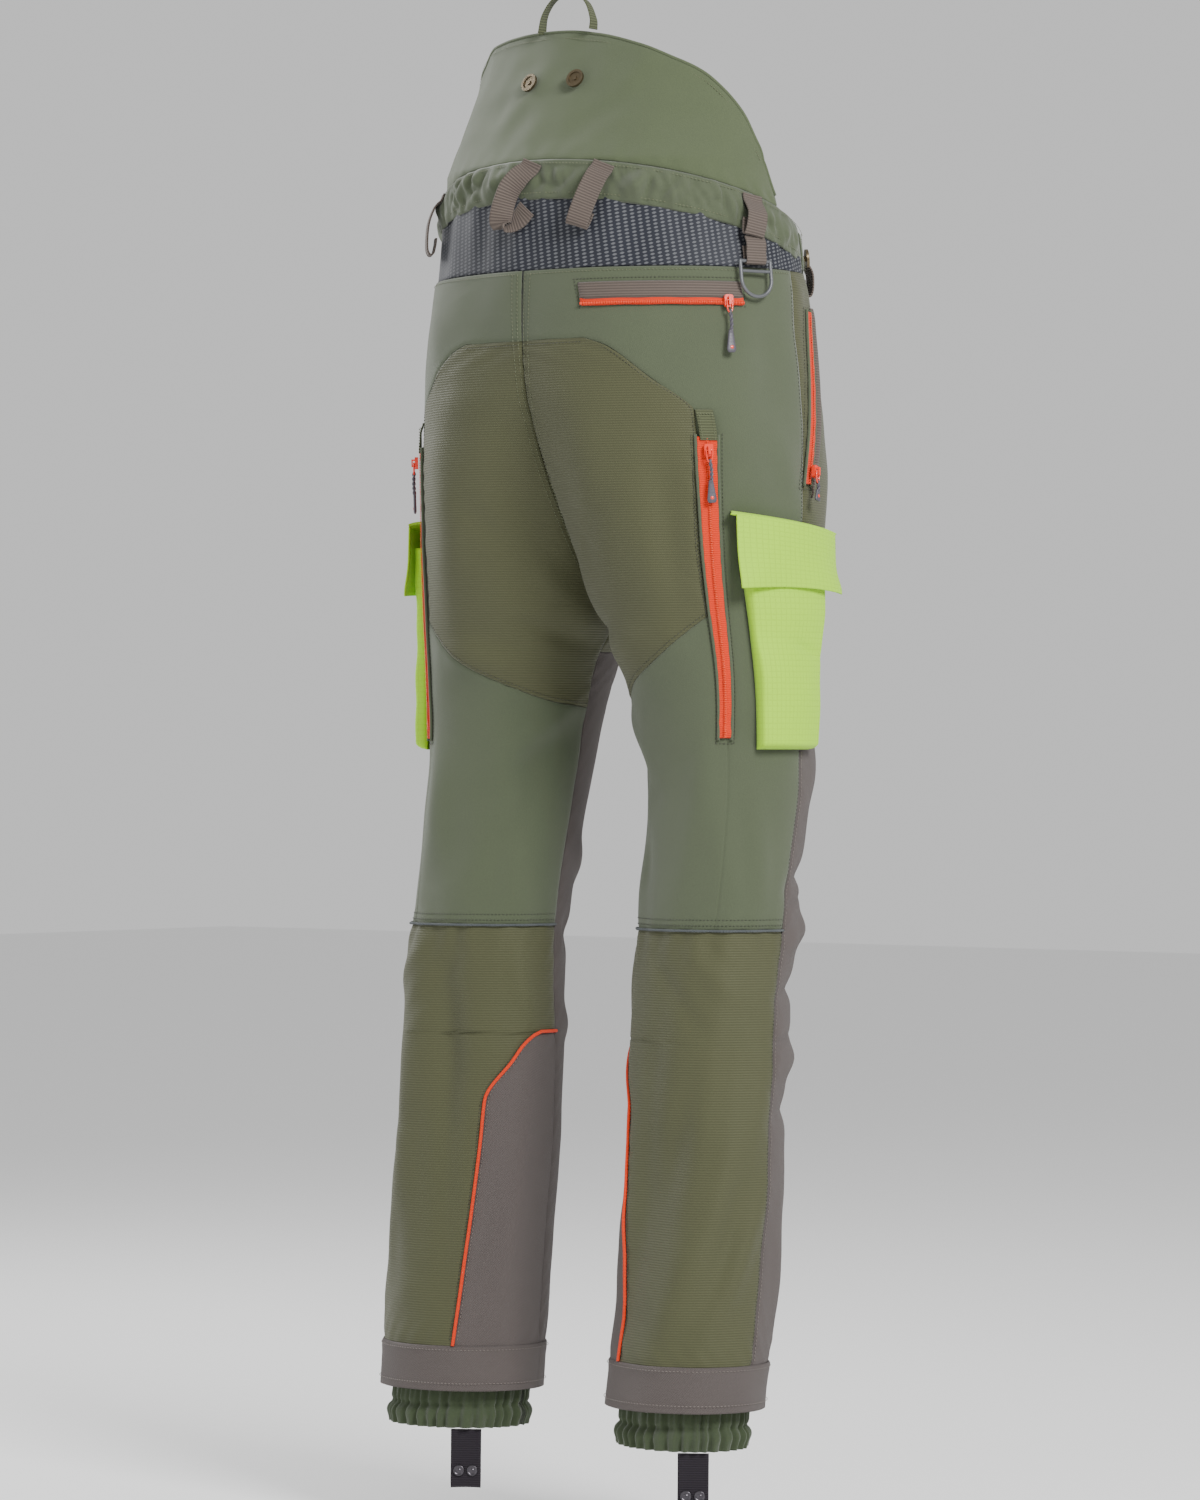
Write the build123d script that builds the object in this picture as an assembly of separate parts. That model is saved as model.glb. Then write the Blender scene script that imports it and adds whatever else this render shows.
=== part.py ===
from build123d import *
import math
import os

# Forestry cut-protection trousers, drawn as they hang when worn, in millimetres.
# +Z is up and +Y is the wearer's back, so the wearer's left leg is at +X.
# The origin is the middle of the waist opening, level with the back of the waistband's top edge.

os.makedirs("parts", exist_ok=True)

# Garment surface. Each leg is a stack of ellipses, and the two stacks meet at x = 0 above the crotch.
# Columns: height, centre x, centre y, half width, half depth, turn of the section in degrees.
SECTIONS = [
    (150, 0, 0, 172, 125, 0),
    (0, 0, 0, 172, 127, 0),
    (-40, 2, 0, 174, 130, 0),
    (-90, 10, 0, 172, 133, 0),
    (-140, 27, 0, 160, 136, 0),
    (-200, 45, -2, 147, 137, 0),
    (-240, 60, -4, 134, 133, 0),
    (-300, 80, -4, 115, 122, 0),
    (-350, 92, -3, 105, 111, 0),
    (-395, 101, -2, 99, 99, 0),
    (-437, 113, 0, 88, 86, 0),
    (-480, 121, 1, 82, 77, 1),
    (-545, 127, 5, 77, 70, 2),
    (-632, 131, 17, 74, 66, 4),
    (-718, 132, 29, 73, 65, 7),
    (-805, 131, 36, 76, 65, 11),
    (-891, 132, 42, 77, 64, 12),
    (-977, 132, 50, 76, 64, 12),
    (-1092, 130, 66, 78, 64, 12),
    (-1140, 130, 72, 78, 64, 12),
]
INNER_SEAM = -90
SIDE_SEAM = 98
FULL_TURN = 360
CROTCH_Z = -395

# Cloth and hardware sizes
SHELL = 0.8
SEAM_GAP = 0.8
LAYER_GAP = 1.0
LINING_OUT = -8.4
LINING = 0.5
INSERT_OUT = -7.7
INSERT = 4.5
WAIST_DROP = 40
WAIST_TOP = 2
BAND_HEIGHT = 33
MESH_LOW = -96
MESH_END = 118
KNEE_Z = -676
CALF_TOP = -772
HEM_TOP = -1052
HEM_LOW = -1090
GAITER_TOP = -1088
GAITER_LOW = -1124
THIGH_FRONT_LOW = -430
SEAT_TOP_Z = -160.5
SEAT_LOW_Z = -475
YOKE_CLEAR = 2.2
HEM_THICK = 1.4
# Millimetres, then degrees, kept clear of the seams that join the two legs
CENTRE_CLEAR = 0.9
CENTRE_TURN = 1.0
SEAM_TURN = 0.3
# The bib has slumped towards the wearer's right (negative angles)
BIB_EDGE = [
    (-93, -30), (-87.5, -2), (-78, 19), (-67.5, 44), (-58.5, 63), (-49, 79), (-37.5, 92.5), (-27, 104),
    (-12, 116), (0, 121), (12, 122), (40, 118), (57, 103), (70, 78), (80, 45), (87, 8), (93, -30),
]
SEAT_EDGE = [(-158, 14), (-165, 21), (-195, 35), (-223, 48.5), (-300, 43.5), (-350, 40.5), (-401, 39)]
SEAT_FOOT = [(-90, -480), (-66, -476), (-38, -464), (-6, -444), (39, -401)]
CALF_EDGE = [(-772, -88), (-774, -67), (-800, -46), (-833, -28), (-868, -26), (-1052, -16)]
ZIP_WIDTH = 15
ZIP_THICK = 1.2
ZIP_OUT = 2.0
SLIDER_OUT = 3.6
SLIDER_SIZE = (8, 11, 3)
BRIDGE_WIDTH = 2.4
BRIDGE_RISE = 3.2
PIN_R = 0.7
PIN_HEIGHT = 1.0
WEBBING = 1.6
LOOP_WIDTH = 22
LOOP_RIBBON = 11
LOOP_STANDOFF = 10
LOOP_FOOT = 4
POUCH_DEPTH = 12
POUCH_WALL = 1.0
FLAP_THICK = 1.6

# Points across and down a panel, and how closely its skin follows them
GRID = 13
SKIN_FIT = 0.1


def interpolate(table, at, column=1):
    """Smooth curve through hand-set rows, with the slope at each row taken from its neighbours."""
    rows = sorted(table, key=lambda row: row[0])
    at = min(max(at, rows[0][0]), rows[-1][0])
    i = 0
    while i < len(rows) - 2 and at > rows[i + 1][0]:
        i += 1
    x0, x1 = rows[i][0], rows[i + 1][0]
    span = x1 - x0
    t = (at - x0) / span

    def chord(j):
        return (rows[j + 1][column] - rows[j][column]) / (rows[j + 1][0] - rows[j][0])

    def slope(j):
        if j == 0 or j == len(rows) - 1:
            return chord(min(j, len(rows) - 2))
        before, after = chord(j - 1), chord(j)
        if before * after <= 0:
            return 0
        return 2 * before * after / (before + after)

    y0, y1 = rows[i][column], rows[i + 1][column]
    rise = y0 * (2 * t**3 - 3 * t**2 + 1) + y1 * (3 * t**2 - 2 * t**3)
    return rise + span * (slope(i) * (t**3 - 2 * t**2 + t) + slope(i + 1) * (t**3 - t**2))


def leg_point(side, angle, z, out=0):
    """Point on one leg: angle 0 is its back, 90 its outer side, -90 its inner seam."""
    cx, cy, a, b, turn = (interpolate(SECTIONS, z, column) for column in range(1, 6))
    ex = (a + out) * math.sin(math.radians(angle))
    ey = (b + out) * math.cos(math.radians(angle))
    c, s = math.cos(math.radians(turn)), math.sin(math.radians(turn))
    return Vector(side * (cx + ex * c - ey * s), cy + ex * s + ey * c, z)


def back_seam(z, out=0, clear=SEAM_GAP / 2):
    """Angle of the centre-back seam, or of the inner leg seam below the crotch."""
    cx = interpolate(SECTIONS, z, 1)
    a = interpolate(SECTIONS, z, 3) + out
    reach = (cx - clear) / a
    if z <= CROTCH_Z or reach >= 1:
        return INNER_SEAM
    return -math.degrees(math.asin(reach))


def front_seam(z, out=0, clear=SEAM_GAP / 2):
    """Angle of the centre-front seam, the mirror of the back one."""
    return 180 - back_seam(z, out, clear)


def waist_point(side, angle, z, out=0):
    """Point on the band round the waist, where both halves share one ellipse."""
    a = interpolate(SECTIONS, z, 1) + interpolate(SECTIONS, z, 3) + out
    b = interpolate(SECTIONS, z, 4) + out
    return Vector(side * a * math.sin(math.radians(angle)), b * math.cos(math.radians(angle)), z)


def bib_point(side, angle, z, out=0):
    """Point on the kidney bib, which leans forward as it rises from the waistband."""
    rise = max(z, 0)
    lean = 0.6 * rise - 0.0013 * rise**2
    flat = waist_point(side, angle, z, out)
    return Vector(flat.X, flat.Y - lean, z)


def waist_top(angle):
    return WAIST_TOP - WAIST_DROP * (1 - math.cos(math.radians(angle)))


def waist_low(angle):
    return waist_top(angle) - BAND_HEIGHT


def seat_foot(angle):
    return interpolate(SEAT_FOOT, angle)


def seat_edge(z):
    return interpolate(SEAT_EDGE, z)


def panel(point, side, low, high, start, end, out, thick, columns=GRID, rows=GRID):
    """Cloth panel: low and high give heights at an angle, start and end give angles at a height."""
    def place(u, v, extra):
        middle = low(0) + (high(0) - low(0)) * v
        angle = start(middle) + (end(middle) - start(middle)) * u
        z = low(angle) + (high(angle) - low(angle)) * v
        angle = start(z) + (end(z) - start(z)) * u
        return point(side, angle, z, out + extra)

    def skin(extra):
        grid = [
            [place(i / (columns - 1), j / (rows - 1), extra) for i in range(columns)] for j in range(rows)
        ]
        return Face.make_surface_from_array_of_points(grid, tol=SKIN_FIT)

    inner, outer = skin(0), skin(thick)
    walls = []
    for edge in outer.edges():
        middle = edge.position_at(0.5)
        partner = min(inner.edges(), key=lambda other: (other.position_at(0.5) - middle).length)
        walls.append(Face.make_surface_from_curves(edge, partner))
    return Solid(Shell([inner, outer, *walls]))


def level(z):
    return lambda angle: z


def local_plane(point, side, angle, z, out, turn=0):
    """Plane on the cloth: its z axis points outwards and its y axis points up the cloth."""
    here = point(side, angle, z, out)
    along = (point(side, angle + 1, z, out) - point(side, angle - 1, z, out)).normalized()
    up = (point(side, angle, z + 2, out) - point(side, angle, z - 2, out)).normalized()
    across = along * side
    normal = across.cross(up).normalized()
    if (point(side, angle, z, out + 5) - here).dot(normal) < 0:
        across = across * -1
        normal = across.cross(up).normalized()
    flat = Plane(origin=here, x_dir=across, z_dir=normal)
    return Plane(flat.location * Location((0, 0, 0), (0, 0, turn)))


def both(make):
    """The wearer's left and right versions of one piece, by name."""
    return {"left": make(1), "right": make(-1)}


def save(name, *solids):
    """Write one node. Groups of alike pieces go in as separate solids."""
    shape = solids[0] if len(solids) == 1 else Compound(children=list(solids))
    export_step(shape, f"parts/{name}.step")


def save_pair(name, make):
    for word, solid in both(make).items():
        save(f"{name}_{word}", solid)


# ---- cloth panels ----


def wrapped_strip(point, low, high, start, end, out, thick, columns=31, rows=5):
    """Strip that runs round the back from the wearer's right (-) to the left (+)."""
    def signed(side, angle, z, offset):
        return point(1 if angle >= 0 else -1, abs(angle), z, offset)

    return panel(
        signed, 1, lambda a: low(abs(a)), lambda a: high(abs(a)), lambda z: start, lambda z: end,
        out, thick, columns, rows,
    )


def kidney_bib(out, thick, inset, columns):
    """High back above the waistband, from one side seam round to the other."""
    def low(angle):
        return waist_top(angle) + SEAM_GAP + inset / 2

    def high(angle):
        return interpolate(BIB_EDGE, angle) - inset

    end = BIB_EDGE[-1][0] - inset / 2
    return panel(bib_point, 1, low, high, lambda z: -end, lambda z: end, out, thick, columns, rows=9)


def waistband_back():
    return wrapped_strip(waist_point, waist_low, waist_top, -MESH_END, MESH_END, 0, HEM_THICK)


def waist_elastic():
    def low(angle):
        return waist_low(angle) + 3

    def high(angle):
        return waist_top(angle) - 3

    return wrapped_strip(waist_point, low, high, -MESH_END + 3, MESH_END - 3, -2.2, 1.6)


def waistband_front(side):
    gap = math.degrees(SEAM_GAP / 2 / 172)
    return panel(
        waist_point, side, waist_low, waist_top, lambda z: MESH_END + gap * 2, lambda z: 180 - gap,
        0, HEM_THICK,
    )


def mesh_panel():
    def low(angle):
        return MESH_LOW + SEAM_GAP

    def high(angle):
        return waist_low(angle) - SEAM_GAP

    return wrapped_strip(waist_point, low, high, -MESH_END + 2, MESH_END - 2, 0, SHELL)


def yoke(side):
    """Smooth cloth under the mesh, down to the slanting top of the seat panel."""
    slant = [(angle, z) for z, angle in SEAT_EDGE[1:4]]
    seat_top = SEAT_EDGE[0][0]
    outline = [(-14, seat_top), (14, seat_top), *slant, (SIDE_SEAM, slant[-1][1])]
    return panel(
        leg_point, side, lambda a: interpolate(outline, a) + YOKE_CLEAR, level(MESH_LOW),
        lambda z: back_seam(z, 0, CENTRE_CLEAR), lambda z: SIDE_SEAM - SEAM_GAP, 0, SHELL, columns=19,
    )


def seat_outline(z):
    """Outer edge of the seat panel, which sweeps in to the inner leg seam at its foot."""
    if z > SEAT_EDGE[-1][0]:
        return interpolate(SEAT_EDGE, z)
    return interpolate([(foot_z, angle) for angle, foot_z in SEAT_FOOT], z)


def seat_panel(side):
    """Ribbed seat reinforcement from the centre-back seam to the inner thigh."""
    return panel(
        leg_point, side, level(SEAT_LOW_Z), level(SEAT_TOP_Z),
        lambda z: back_seam(z, 0, CENTRE_CLEAR) + CENTRE_TURN,
        lambda z: seat_outline(z) - SEAM_GAP, 0, SHELL, columns=15, rows=37,
    )


def thigh_side(side):
    """Smooth cloth beside the seat panel, where the vent zip is let in."""
    return panel(
        leg_point, side, level(-401), level(-226), lambda z: seat_edge(z) + SEAM_GAP,
        lambda z: SIDE_SEAM - SEAM_GAP, 0, SHELL,
    )


def thigh_back(side):
    """Smooth cloth from the seat panel down to the knee seam."""
    def high(angle):
        return (seat_foot(angle) if angle < 39 else -401) - SEAM_GAP

    return panel(
        leg_point, side, level(KNEE_Z + SEAM_GAP), high, lambda z: INNER_SEAM + SEAM_TURN,
        lambda z: SIDE_SEAM - SEAM_GAP, 0, SHELL, columns=25,
    )


def thigh_front(side):
    """Ribbed front of the hip and thigh, from the waistband to the reinforced knee."""
    def high(angle):
        return min(waist_low(angle), MESH_LOW - SEAM_GAP) - SEAM_GAP

    return panel(
        leg_point, side, level(THIGH_FRONT_LOW + SEAM_GAP), high, lambda z: SIDE_SEAM,
        lambda z: front_seam(z, 0, CENTRE_CLEAR) - 1.5 * CENTRE_TURN, 0, SHELL, rows=25,
    )


def front_guard(side, low, high):
    """Hard-wearing front of the leg."""
    return panel(
        leg_point, side, level(low), level(high), lambda z: SIDE_SEAM,
        lambda z: FULL_TURN + INNER_SEAM - SEAM_TURN, 0, SHELL,
    )


def lower_leg_back(side):
    """Ribbed back of the lower leg, cut away for the calf panel."""
    def start(z):
        return INNER_SEAM + SEAM_TURN if z > CALF_TOP else interpolate(CALF_EDGE, z) + 1.2

    return panel(
        leg_point, side, level(HEM_TOP + SEAM_GAP), level(KNEE_Z - SEAM_GAP), start,
        lambda z: SIDE_SEAM - SEAM_GAP, 0, SHELL, rows=41,
    )


def calf_panel(side):
    return panel(
        leg_point, side, level(HEM_TOP + SEAM_GAP), level(CALF_TOP - 2), lambda z: INNER_SEAM + SEAM_TURN,
        lambda z: interpolate(CALF_EDGE, z) - 1.2, 0, SHELL, rows=31,
    )


def leg_ring(side, low, high, out, thick, rows=5):
    """Band all the way round one leg, sewn shut at the inner seam."""
    return panel(
        leg_point, side, level(low), level(high), lambda z: INNER_SEAM + SEAM_TURN,
        lambda z: FULL_TURN + INNER_SEAM - SEAM_TURN, out, thick, columns=33, rows=rows,
    )


def leg_lining(side):
    return leg_ring(side, HEM_LOW + 20, CROTCH_Z - 45, LINING_OUT, LINING, rows=25)


def cut_insert(side):
    """Layered saw-stopping pad in the front of the leg."""
    def start(z):
        return SIDE_SEAM + 4

    def end(z):
        return min(front_seam(z, INSERT_OUT, 8), 262)

    return panel(
        leg_point, side, level(-1040), level(-190), start, end, INSERT_OUT, INSERT,
        columns=17, rows=37,
    )


# ---- piping, pockets and zips ----


def knee_piping(side):
    return panel(
        leg_point, side, level(KNEE_Z - 1.1), level(KNEE_Z + 1.1), lambda z: INNER_SEAM + 1,
        lambda z: SIDE_SEAM - 1, SHELL + LAYER_GAP, 1.4, columns=17, rows=3,
    )


def calf_piping(side):
    return panel(
        leg_point, side, level(HEM_TOP + 1), level(CALF_TOP - 1),
        lambda z: interpolate(CALF_EDGE, z) - 0.9, lambda z: interpolate(CALF_EDGE, z) + 0.9,
        SHELL + LAYER_GAP, 1.4, columns=3, rows=37,
    )


def strip_between(side, top, foot, width, out, thick, rows=9):
    """Straight strip on the cloth from (angle, z) at its top to (angle, z) at its foot."""
    half = math.degrees(width / 2 / 115)

    def middle(z):
        return foot[0] + (top[0] - foot[0]) * (z - foot[1]) / (top[1] - foot[1])

    return panel(
        leg_point, side, level(foot[1]), level(top[1]), lambda z: middle(z) - half,
        lambda z: middle(z) + half, out, thick, columns=5, rows=rows,
    )


VENT_TOP = (51, -246)
VENT_FOOT = (38, -508)
HAND_TOP = (112, -130)
HAND_FOOT = (100.5, -284)
BACK_ZIP_Z = -127
BACK_ZIP_START = 15.5
BACK_ZIP_END = 71
FLY_TOP_Z = -115
FLY_FOOT_Z = -232
FLY_COVER_OUT = 20.5
FLY_SLIDER_OUT = 10.9
FLY_TAPE_OUT = 9.0
BACK_SLIDER_ANGLE = 64.5
# Angle round the waist (the left is negative), slant and length of each belt loop.
# A negative slant swings the loop's foot to the right of someone facing the cloth
BELT_LOOPS = [(3, -24, 60), (27, -22, 60), (78, -10, 38), (-52, 0, 56), (-137, 0, 42), (137, 0, 42)]


def back_pocket_strip(low, high, out, thick):
    return panel(
        leg_point, -1, level(low), level(high), lambda z: BACK_ZIP_START, lambda z: BACK_ZIP_END,
        out, thick, columns=11, rows=3,
    )


def fly_strip(width, top, foot, out, thick):
    """Flat strip down the centre front, just outside the cloth."""
    upper = waist_point(1, 180, top, out)
    lower = Vector(0, leg_point(1, front_seam(foot, 0, 0), foot).Y - out, foot)
    middle = (upper + lower) * 0.5
    length = (upper - lower).length
    plane = Plane(origin=middle, x_dir=(1, 0, 0), z_dir=Vector(1, 0, 0).cross(upper - lower))
    return plane * Pos(0, 0, thick / 2) * Box(width, length, thick)


def pocket_bag(side, low, high, start, end):
    return panel(
        leg_point, side, level(low), level(high), lambda z: start, lambda z: end, -2.6, 1.6,
        columns=7, rows=7,
    )


def slider_body(plane):
    """Zip slider: a rounded block with an arched bridge over its pull's pin."""
    width, length, height = SLIDER_SIZE
    block = fillet(Box(width, length, height).edges().filter_by(Axis.Z), 2)
    arch = Pos(0, 0, height / 2 + BRIDGE_RISE / 2) * Box(BRIDGE_WIDTH, 7, BRIDGE_RISE)
    eye = Pos(0, 0, height / 2 + PIN_HEIGHT) * Box(BRIDGE_WIDTH, 4, 2 * PIN_HEIGHT)
    return plane * Pos(0, 0, height / 2) * (block + (arch - eye))


def pull(plane, length):
    """Pull that hangs on a pin under the slider's bridge: two arms, a cord stem and a moulded grip."""
    pin = Cylinder(PIN_R, 5, rotation=(0, 90, 0))
    arms = [Pos(sign * 2.05, -4.1, 0) * Box(0.9, 8.8, 1.4) for sign in (-1, 1)]
    stem_top = -8.2
    stem_length = (length + stem_top) * 0.5
    stem = Pos(0, stem_top - stem_length / 2, 0) * Box(5, stem_length, 1.4)
    shoulder = stem_top - stem_length
    profile = Polyline(
        (-1.8, shoulder + 1), (1.8, shoulder + 1), (4.2, -length + 3), (2.6, -length),
        (-2.6, -length), (-4.2, -length + 3), close=True,
    )
    grip = Pos(0, 0, -1.4) * extrude(make_face(profile), 2.8)
    return plane * Pos(0, 0, SLIDER_SIZE[2] + PIN_HEIGHT) * (pin + arms + stem + grip)


# ---- hardware ----


def strap_solid(width, thickness, points):
    """Webbing strap from straight runs, drawn in the plane's Y and Z, with mitred corners."""
    outer, inner = [], []
    count = len(points)
    for i, (y, z) in enumerate(points):
        before = points[max(i - 1, 0)]
        after = points[min(i + 1, count - 1)]
        d1 = Vector(0, y - before[0], z - before[1]) if i else Vector(0, after[0] - y, after[1] - z)
        d2 = Vector(0, after[0] - y, after[1] - z) if i < count - 1 else d1
        n1 = Vector(0, -d1.normalized().Z, d1.normalized().Y)
        n2 = Vector(0, -d2.normalized().Z, d2.normalized().Y)
        mitre = (n1 + n2).normalized()
        reach = thickness / 2 / max(mitre.dot(n1), 0.35)
        outer.append((0, y + mitre.Y * reach, z + mitre.Z * reach))
        inner.append((0, y - mitre.Y * reach, z - mitre.Z * reach))
    outline = Polyline(*outer, *reversed(inner), close=True)
    return Pos(-width / 2, 0, 0) * extrude(make_face(outline), width, dir=(1, 0, 0))


def belt_loop(angle, slant, span):
    """Slack webbing loop from the waistband down to the mesh."""
    side = 1 if angle < 0 else -1
    angle = abs(angle)
    base = SHELL + 3 * LAYER_GAP + WEBBING / 2
    plane = local_plane(waist_point, side, angle, waist_top(angle) - 3, base, slant)
    bow = LOOP_STANDOFF
    foot = LOOP_FOOT
    points = [(0, 0), (-5, 0), (-9, bow * 0.8), (-span / 2, bow), (-span + 9, bow * 0.9),
              (-span + 5, foot), (-span, foot)]
    return plane * strap_solid(LOOP_WIDTH, WEBBING, points)


def hanging_loop():
    """Webbing arch standing on the top edge of the bib."""
    foot = bib_point(1, 0, interpolate(BIB_EDGE, 0))
    points = [(-30, 0), (-30, 8), (-22, 24), (-4, 32), (14, 28.5), (26, 15), (30, 0)]
    upright = Plane(origin=foot + Vector(0, 0, WEBBING + 0.3), x_dir=(0, -1, 0), z_dir=(0, 0, 1))
    return upright * strap_solid(LOOP_RIBBON, WEBBING, points)


BUTTON_R = 8.5
BUTTON_HEAD = 2.4


def brace_button(plane):
    """Tack button: rim, dished middle and a shank through the cloth."""
    head = Pos(0, 0, 3.2 + BUTTON_HEAD / 2) * Cylinder(BUTTON_R, BUTTON_HEAD)
    dish = Pos(0, 0, 3.2 + BUTTON_HEAD) * Cylinder(BUTTON_R - 2.4, 1.6)
    centre = Pos(0, 0, 3.2 + BUTTON_HEAD - 0.6) * Cylinder(2.2, 1.2)
    shank = Pos(0, 0, 1.65) * Cylinder(2.6, 3.1)
    return plane * (head - dish + centre + shank)


def button_planes():
    gap = SHELL + LAYER_GAP
    planes = []
    for side in (1, -1):
        planes.append(local_plane(bib_point, side, math.degrees(math.asin(26 / 172)), 74, gap))
        for angle in (128, 146):
            z = waist_top(angle) - BAND_HEIGHT / 2
            planes.append(local_plane(waist_point, side, angle, z, gap + 0.6))
    return planes


RING_ANGLE = 76
RING_BAR_Z = -91
RING_OUT = 6.5
RING_WIRE = 1.6
RING_HALF = 15.5


def ring_plane():
    return local_plane(waist_point, -1, RING_ANGLE, RING_BAR_Z, RING_OUT)


def d_ring():
    """Ring with a strap slot above its D: the top bar is the pivot."""
    corners = [(-RING_HALF, 0, 0), (RING_HALF, 0, 0)]
    top_bar = Cylinder(RING_WIRE, 2 * RING_HALF, rotation=(0, 90, 0))
    cross_bar = Pos(0, -9, 0) * Cylinder(RING_WIRE * 0.9, 2 * RING_HALF, rotation=(0, 90, 0))
    arms = [
        Pos(sign * RING_HALF, -8, 0) * Cylinder(RING_WIRE, 16, rotation=(90, 0, 0)) for sign in (-1, 1)
    ]
    joints = [Pos(x, y, z) * Sphere(RING_WIRE) for x, y, z in corners]
    bow_path = Edge.make_three_point_arc((-RING_HALF, -16, 0), (0, -16 - RING_HALF, 0), (RING_HALF, -16, 0))
    bow = sweep(Plane(origin=(-RING_HALF, -16, 0), z_dir=(0, -1, 0)) * Circle(RING_WIRE), bow_path)
    return ring_plane() * (top_bar + cross_bar + arms + joints + bow)


def d_ring_tab():
    """Webbing tab that folds round the ring's top bar and is sewn to the waistband."""
    inner = RING_WIRE + 0.1
    fold = Cylinder(inner + WEBBING, 20, rotation=(0, 90, 0)) - Cylinder(inner, 20, rotation=(0, 90, 0))
    low = -(inner + WEBBING / 2)
    tail = strap_solid(20, WEBBING, [(0, low), (6, low), (13, -3.2)])
    return ring_plane() * (fold + tail)


STRAP_WIDTH = 28
STRAP_LENGTH = 52
STRAP_OUT = -20


def strap_plane(side):
    """Hinge line of the foot strap, just under the back of the gaiter."""
    return local_plane(leg_point, side, -30 if side > 0 else 55, GAITER_LOW - 3.4, STRAP_OUT)


def foot_strap(side):
    """Folded stirrup webbing with two snap heads."""
    points = [(0, 1.6), (-STRAP_LENGTH + 3, 1.6), (-STRAP_LENGTH, 0), (-STRAP_LENGTH + 3, -1.6), (0, -1.6)]
    webbing = strap_solid(STRAP_WIDTH, 1.4, points)
    snaps = [Pos(x, -STRAP_LENGTH + 15, 2.9) * Cylinder(5, 2) for x in (-6, 6)]
    return strap_plane(side) * (webbing + snaps)


def slide_plane(side, top, foot, at, out):
    """Slider plane on a zip's chord: its y axis runs straight up the chord."""
    head = leg_point(side, *top, out)
    tail = leg_point(side, *foot, out)
    up = (head - tail).normalized()
    angle = foot[0] + (top[0] - foot[0]) * at
    near = local_plane(leg_point, side, angle, foot[1] + (top[1] - foot[1]) * at, out)
    across = up.cross(near.z_dir).normalized()
    return Plane(origin=tail + (head - tail) * at, x_dir=across, z_dir=across.cross(up))


def zip_planes():
    """Where each closed zip's slider sits, and the length of its pull, if it has one."""
    planes = {}
    planes["back_zip"] = (
        local_plane(leg_point, -1, BACK_SLIDER_ANGLE, BACK_ZIP_Z, SLIDER_OUT + 0.6), 46
    )
    for word, side in (("left", 1), ("right", -1)):
        planes[f"vent_zip_{word}"] = (slide_plane(side, VENT_TOP, VENT_FOOT, 0.955, SLIDER_OUT + 1.8), 46)
        planes[f"hand_zip_{word}"] = (slide_plane(side, HAND_TOP, HAND_FOOT, 0.07, SLIDER_OUT + 3.6), 27)
    upper = waist_point(1, 180, FLY_TOP_Z, FLY_SLIDER_OUT)
    lower = Vector(0, leg_point(1, front_seam(FLY_FOOT_Z, 0, 0), FLY_FOOT_Z).Y - FLY_SLIDER_OUT, FLY_FOOT_Z)
    up = (upper - lower).normalized()
    normal = Vector(1, 0, 0).cross(up)
    planes["fly_zip"] = (Plane(origin=upper - up * 14, x_dir=(1, 0, 0), z_dir=normal), 0)
    return planes


def waist_snap():
    plane = local_plane(waist_point, 1, 177, waist_top(180) - BAND_HEIGHT / 2, HEM_THICK + LAYER_GAP)
    return plane * (Pos(0, 0, 1.5) * Cylinder(8, 3) + Pos(0, 0, 3.6) * Cylinder(6, 1.4))


POUCH_START = 58.5
POUCH_END = 108
POUCH_TOP = -334
POUCH_LOW = -518
FLAP_TOP = -310
FLAP_SLOPE = 14
FLAP_LOW = -376
FLAP_START = POUCH_START - 1.5
FLAP_END = POUCH_END + 5


def pouch_block(side, low, high, start, end, out, thick):
    return panel(
        leg_point, side, level(low), level(high), lambda z: start, lambda z: end, out, thick,
        columns=9, rows=9,
    )


def cargo_pocket(side):
    """Pouch on the outside of the thigh, open at its top under the flap."""
    base = HEM_THICK + LAYER_GAP
    body = pouch_block(side, POUCH_LOW, POUCH_TOP, POUCH_START, POUCH_END, base, POUCH_DEPTH)
    wall = math.degrees(POUCH_WALL / 105)
    hollow = pouch_block(
        side, POUCH_LOW + POUCH_WALL, POUCH_TOP + 6, POUCH_START + wall, POUCH_END - wall,
        base + POUCH_WALL, POUCH_DEPTH - 2 * POUCH_WALL,
    )
    return body - hollow


def flap_top(angle):
    """The flap's sewn edge slopes down towards the front."""
    return FLAP_TOP - FLAP_SLOPE * (angle - FLAP_START) / (FLAP_END - FLAP_START)


def cargo_flap(side):
    """Flap with a short roof over the pouch and a long front."""
    reach = HEM_THICK + LAYER_GAP + POUCH_DEPTH + LAYER_GAP

    def block(low, high, out, thick):
        return panel(
            leg_point, side, low, high, lambda z: FLAP_START, lambda z: FLAP_END, out, thick,
            columns=9, rows=9,
        )

    roof = block(lambda a: flap_top(a) - 5, flap_top, 2.0, reach - 1)
    front = block(level(FLAP_LOW), lambda a: flap_top(a) - 3, reach - 0.2, FLAP_THICK)
    return roof + front


# ---- write every node ----

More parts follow.
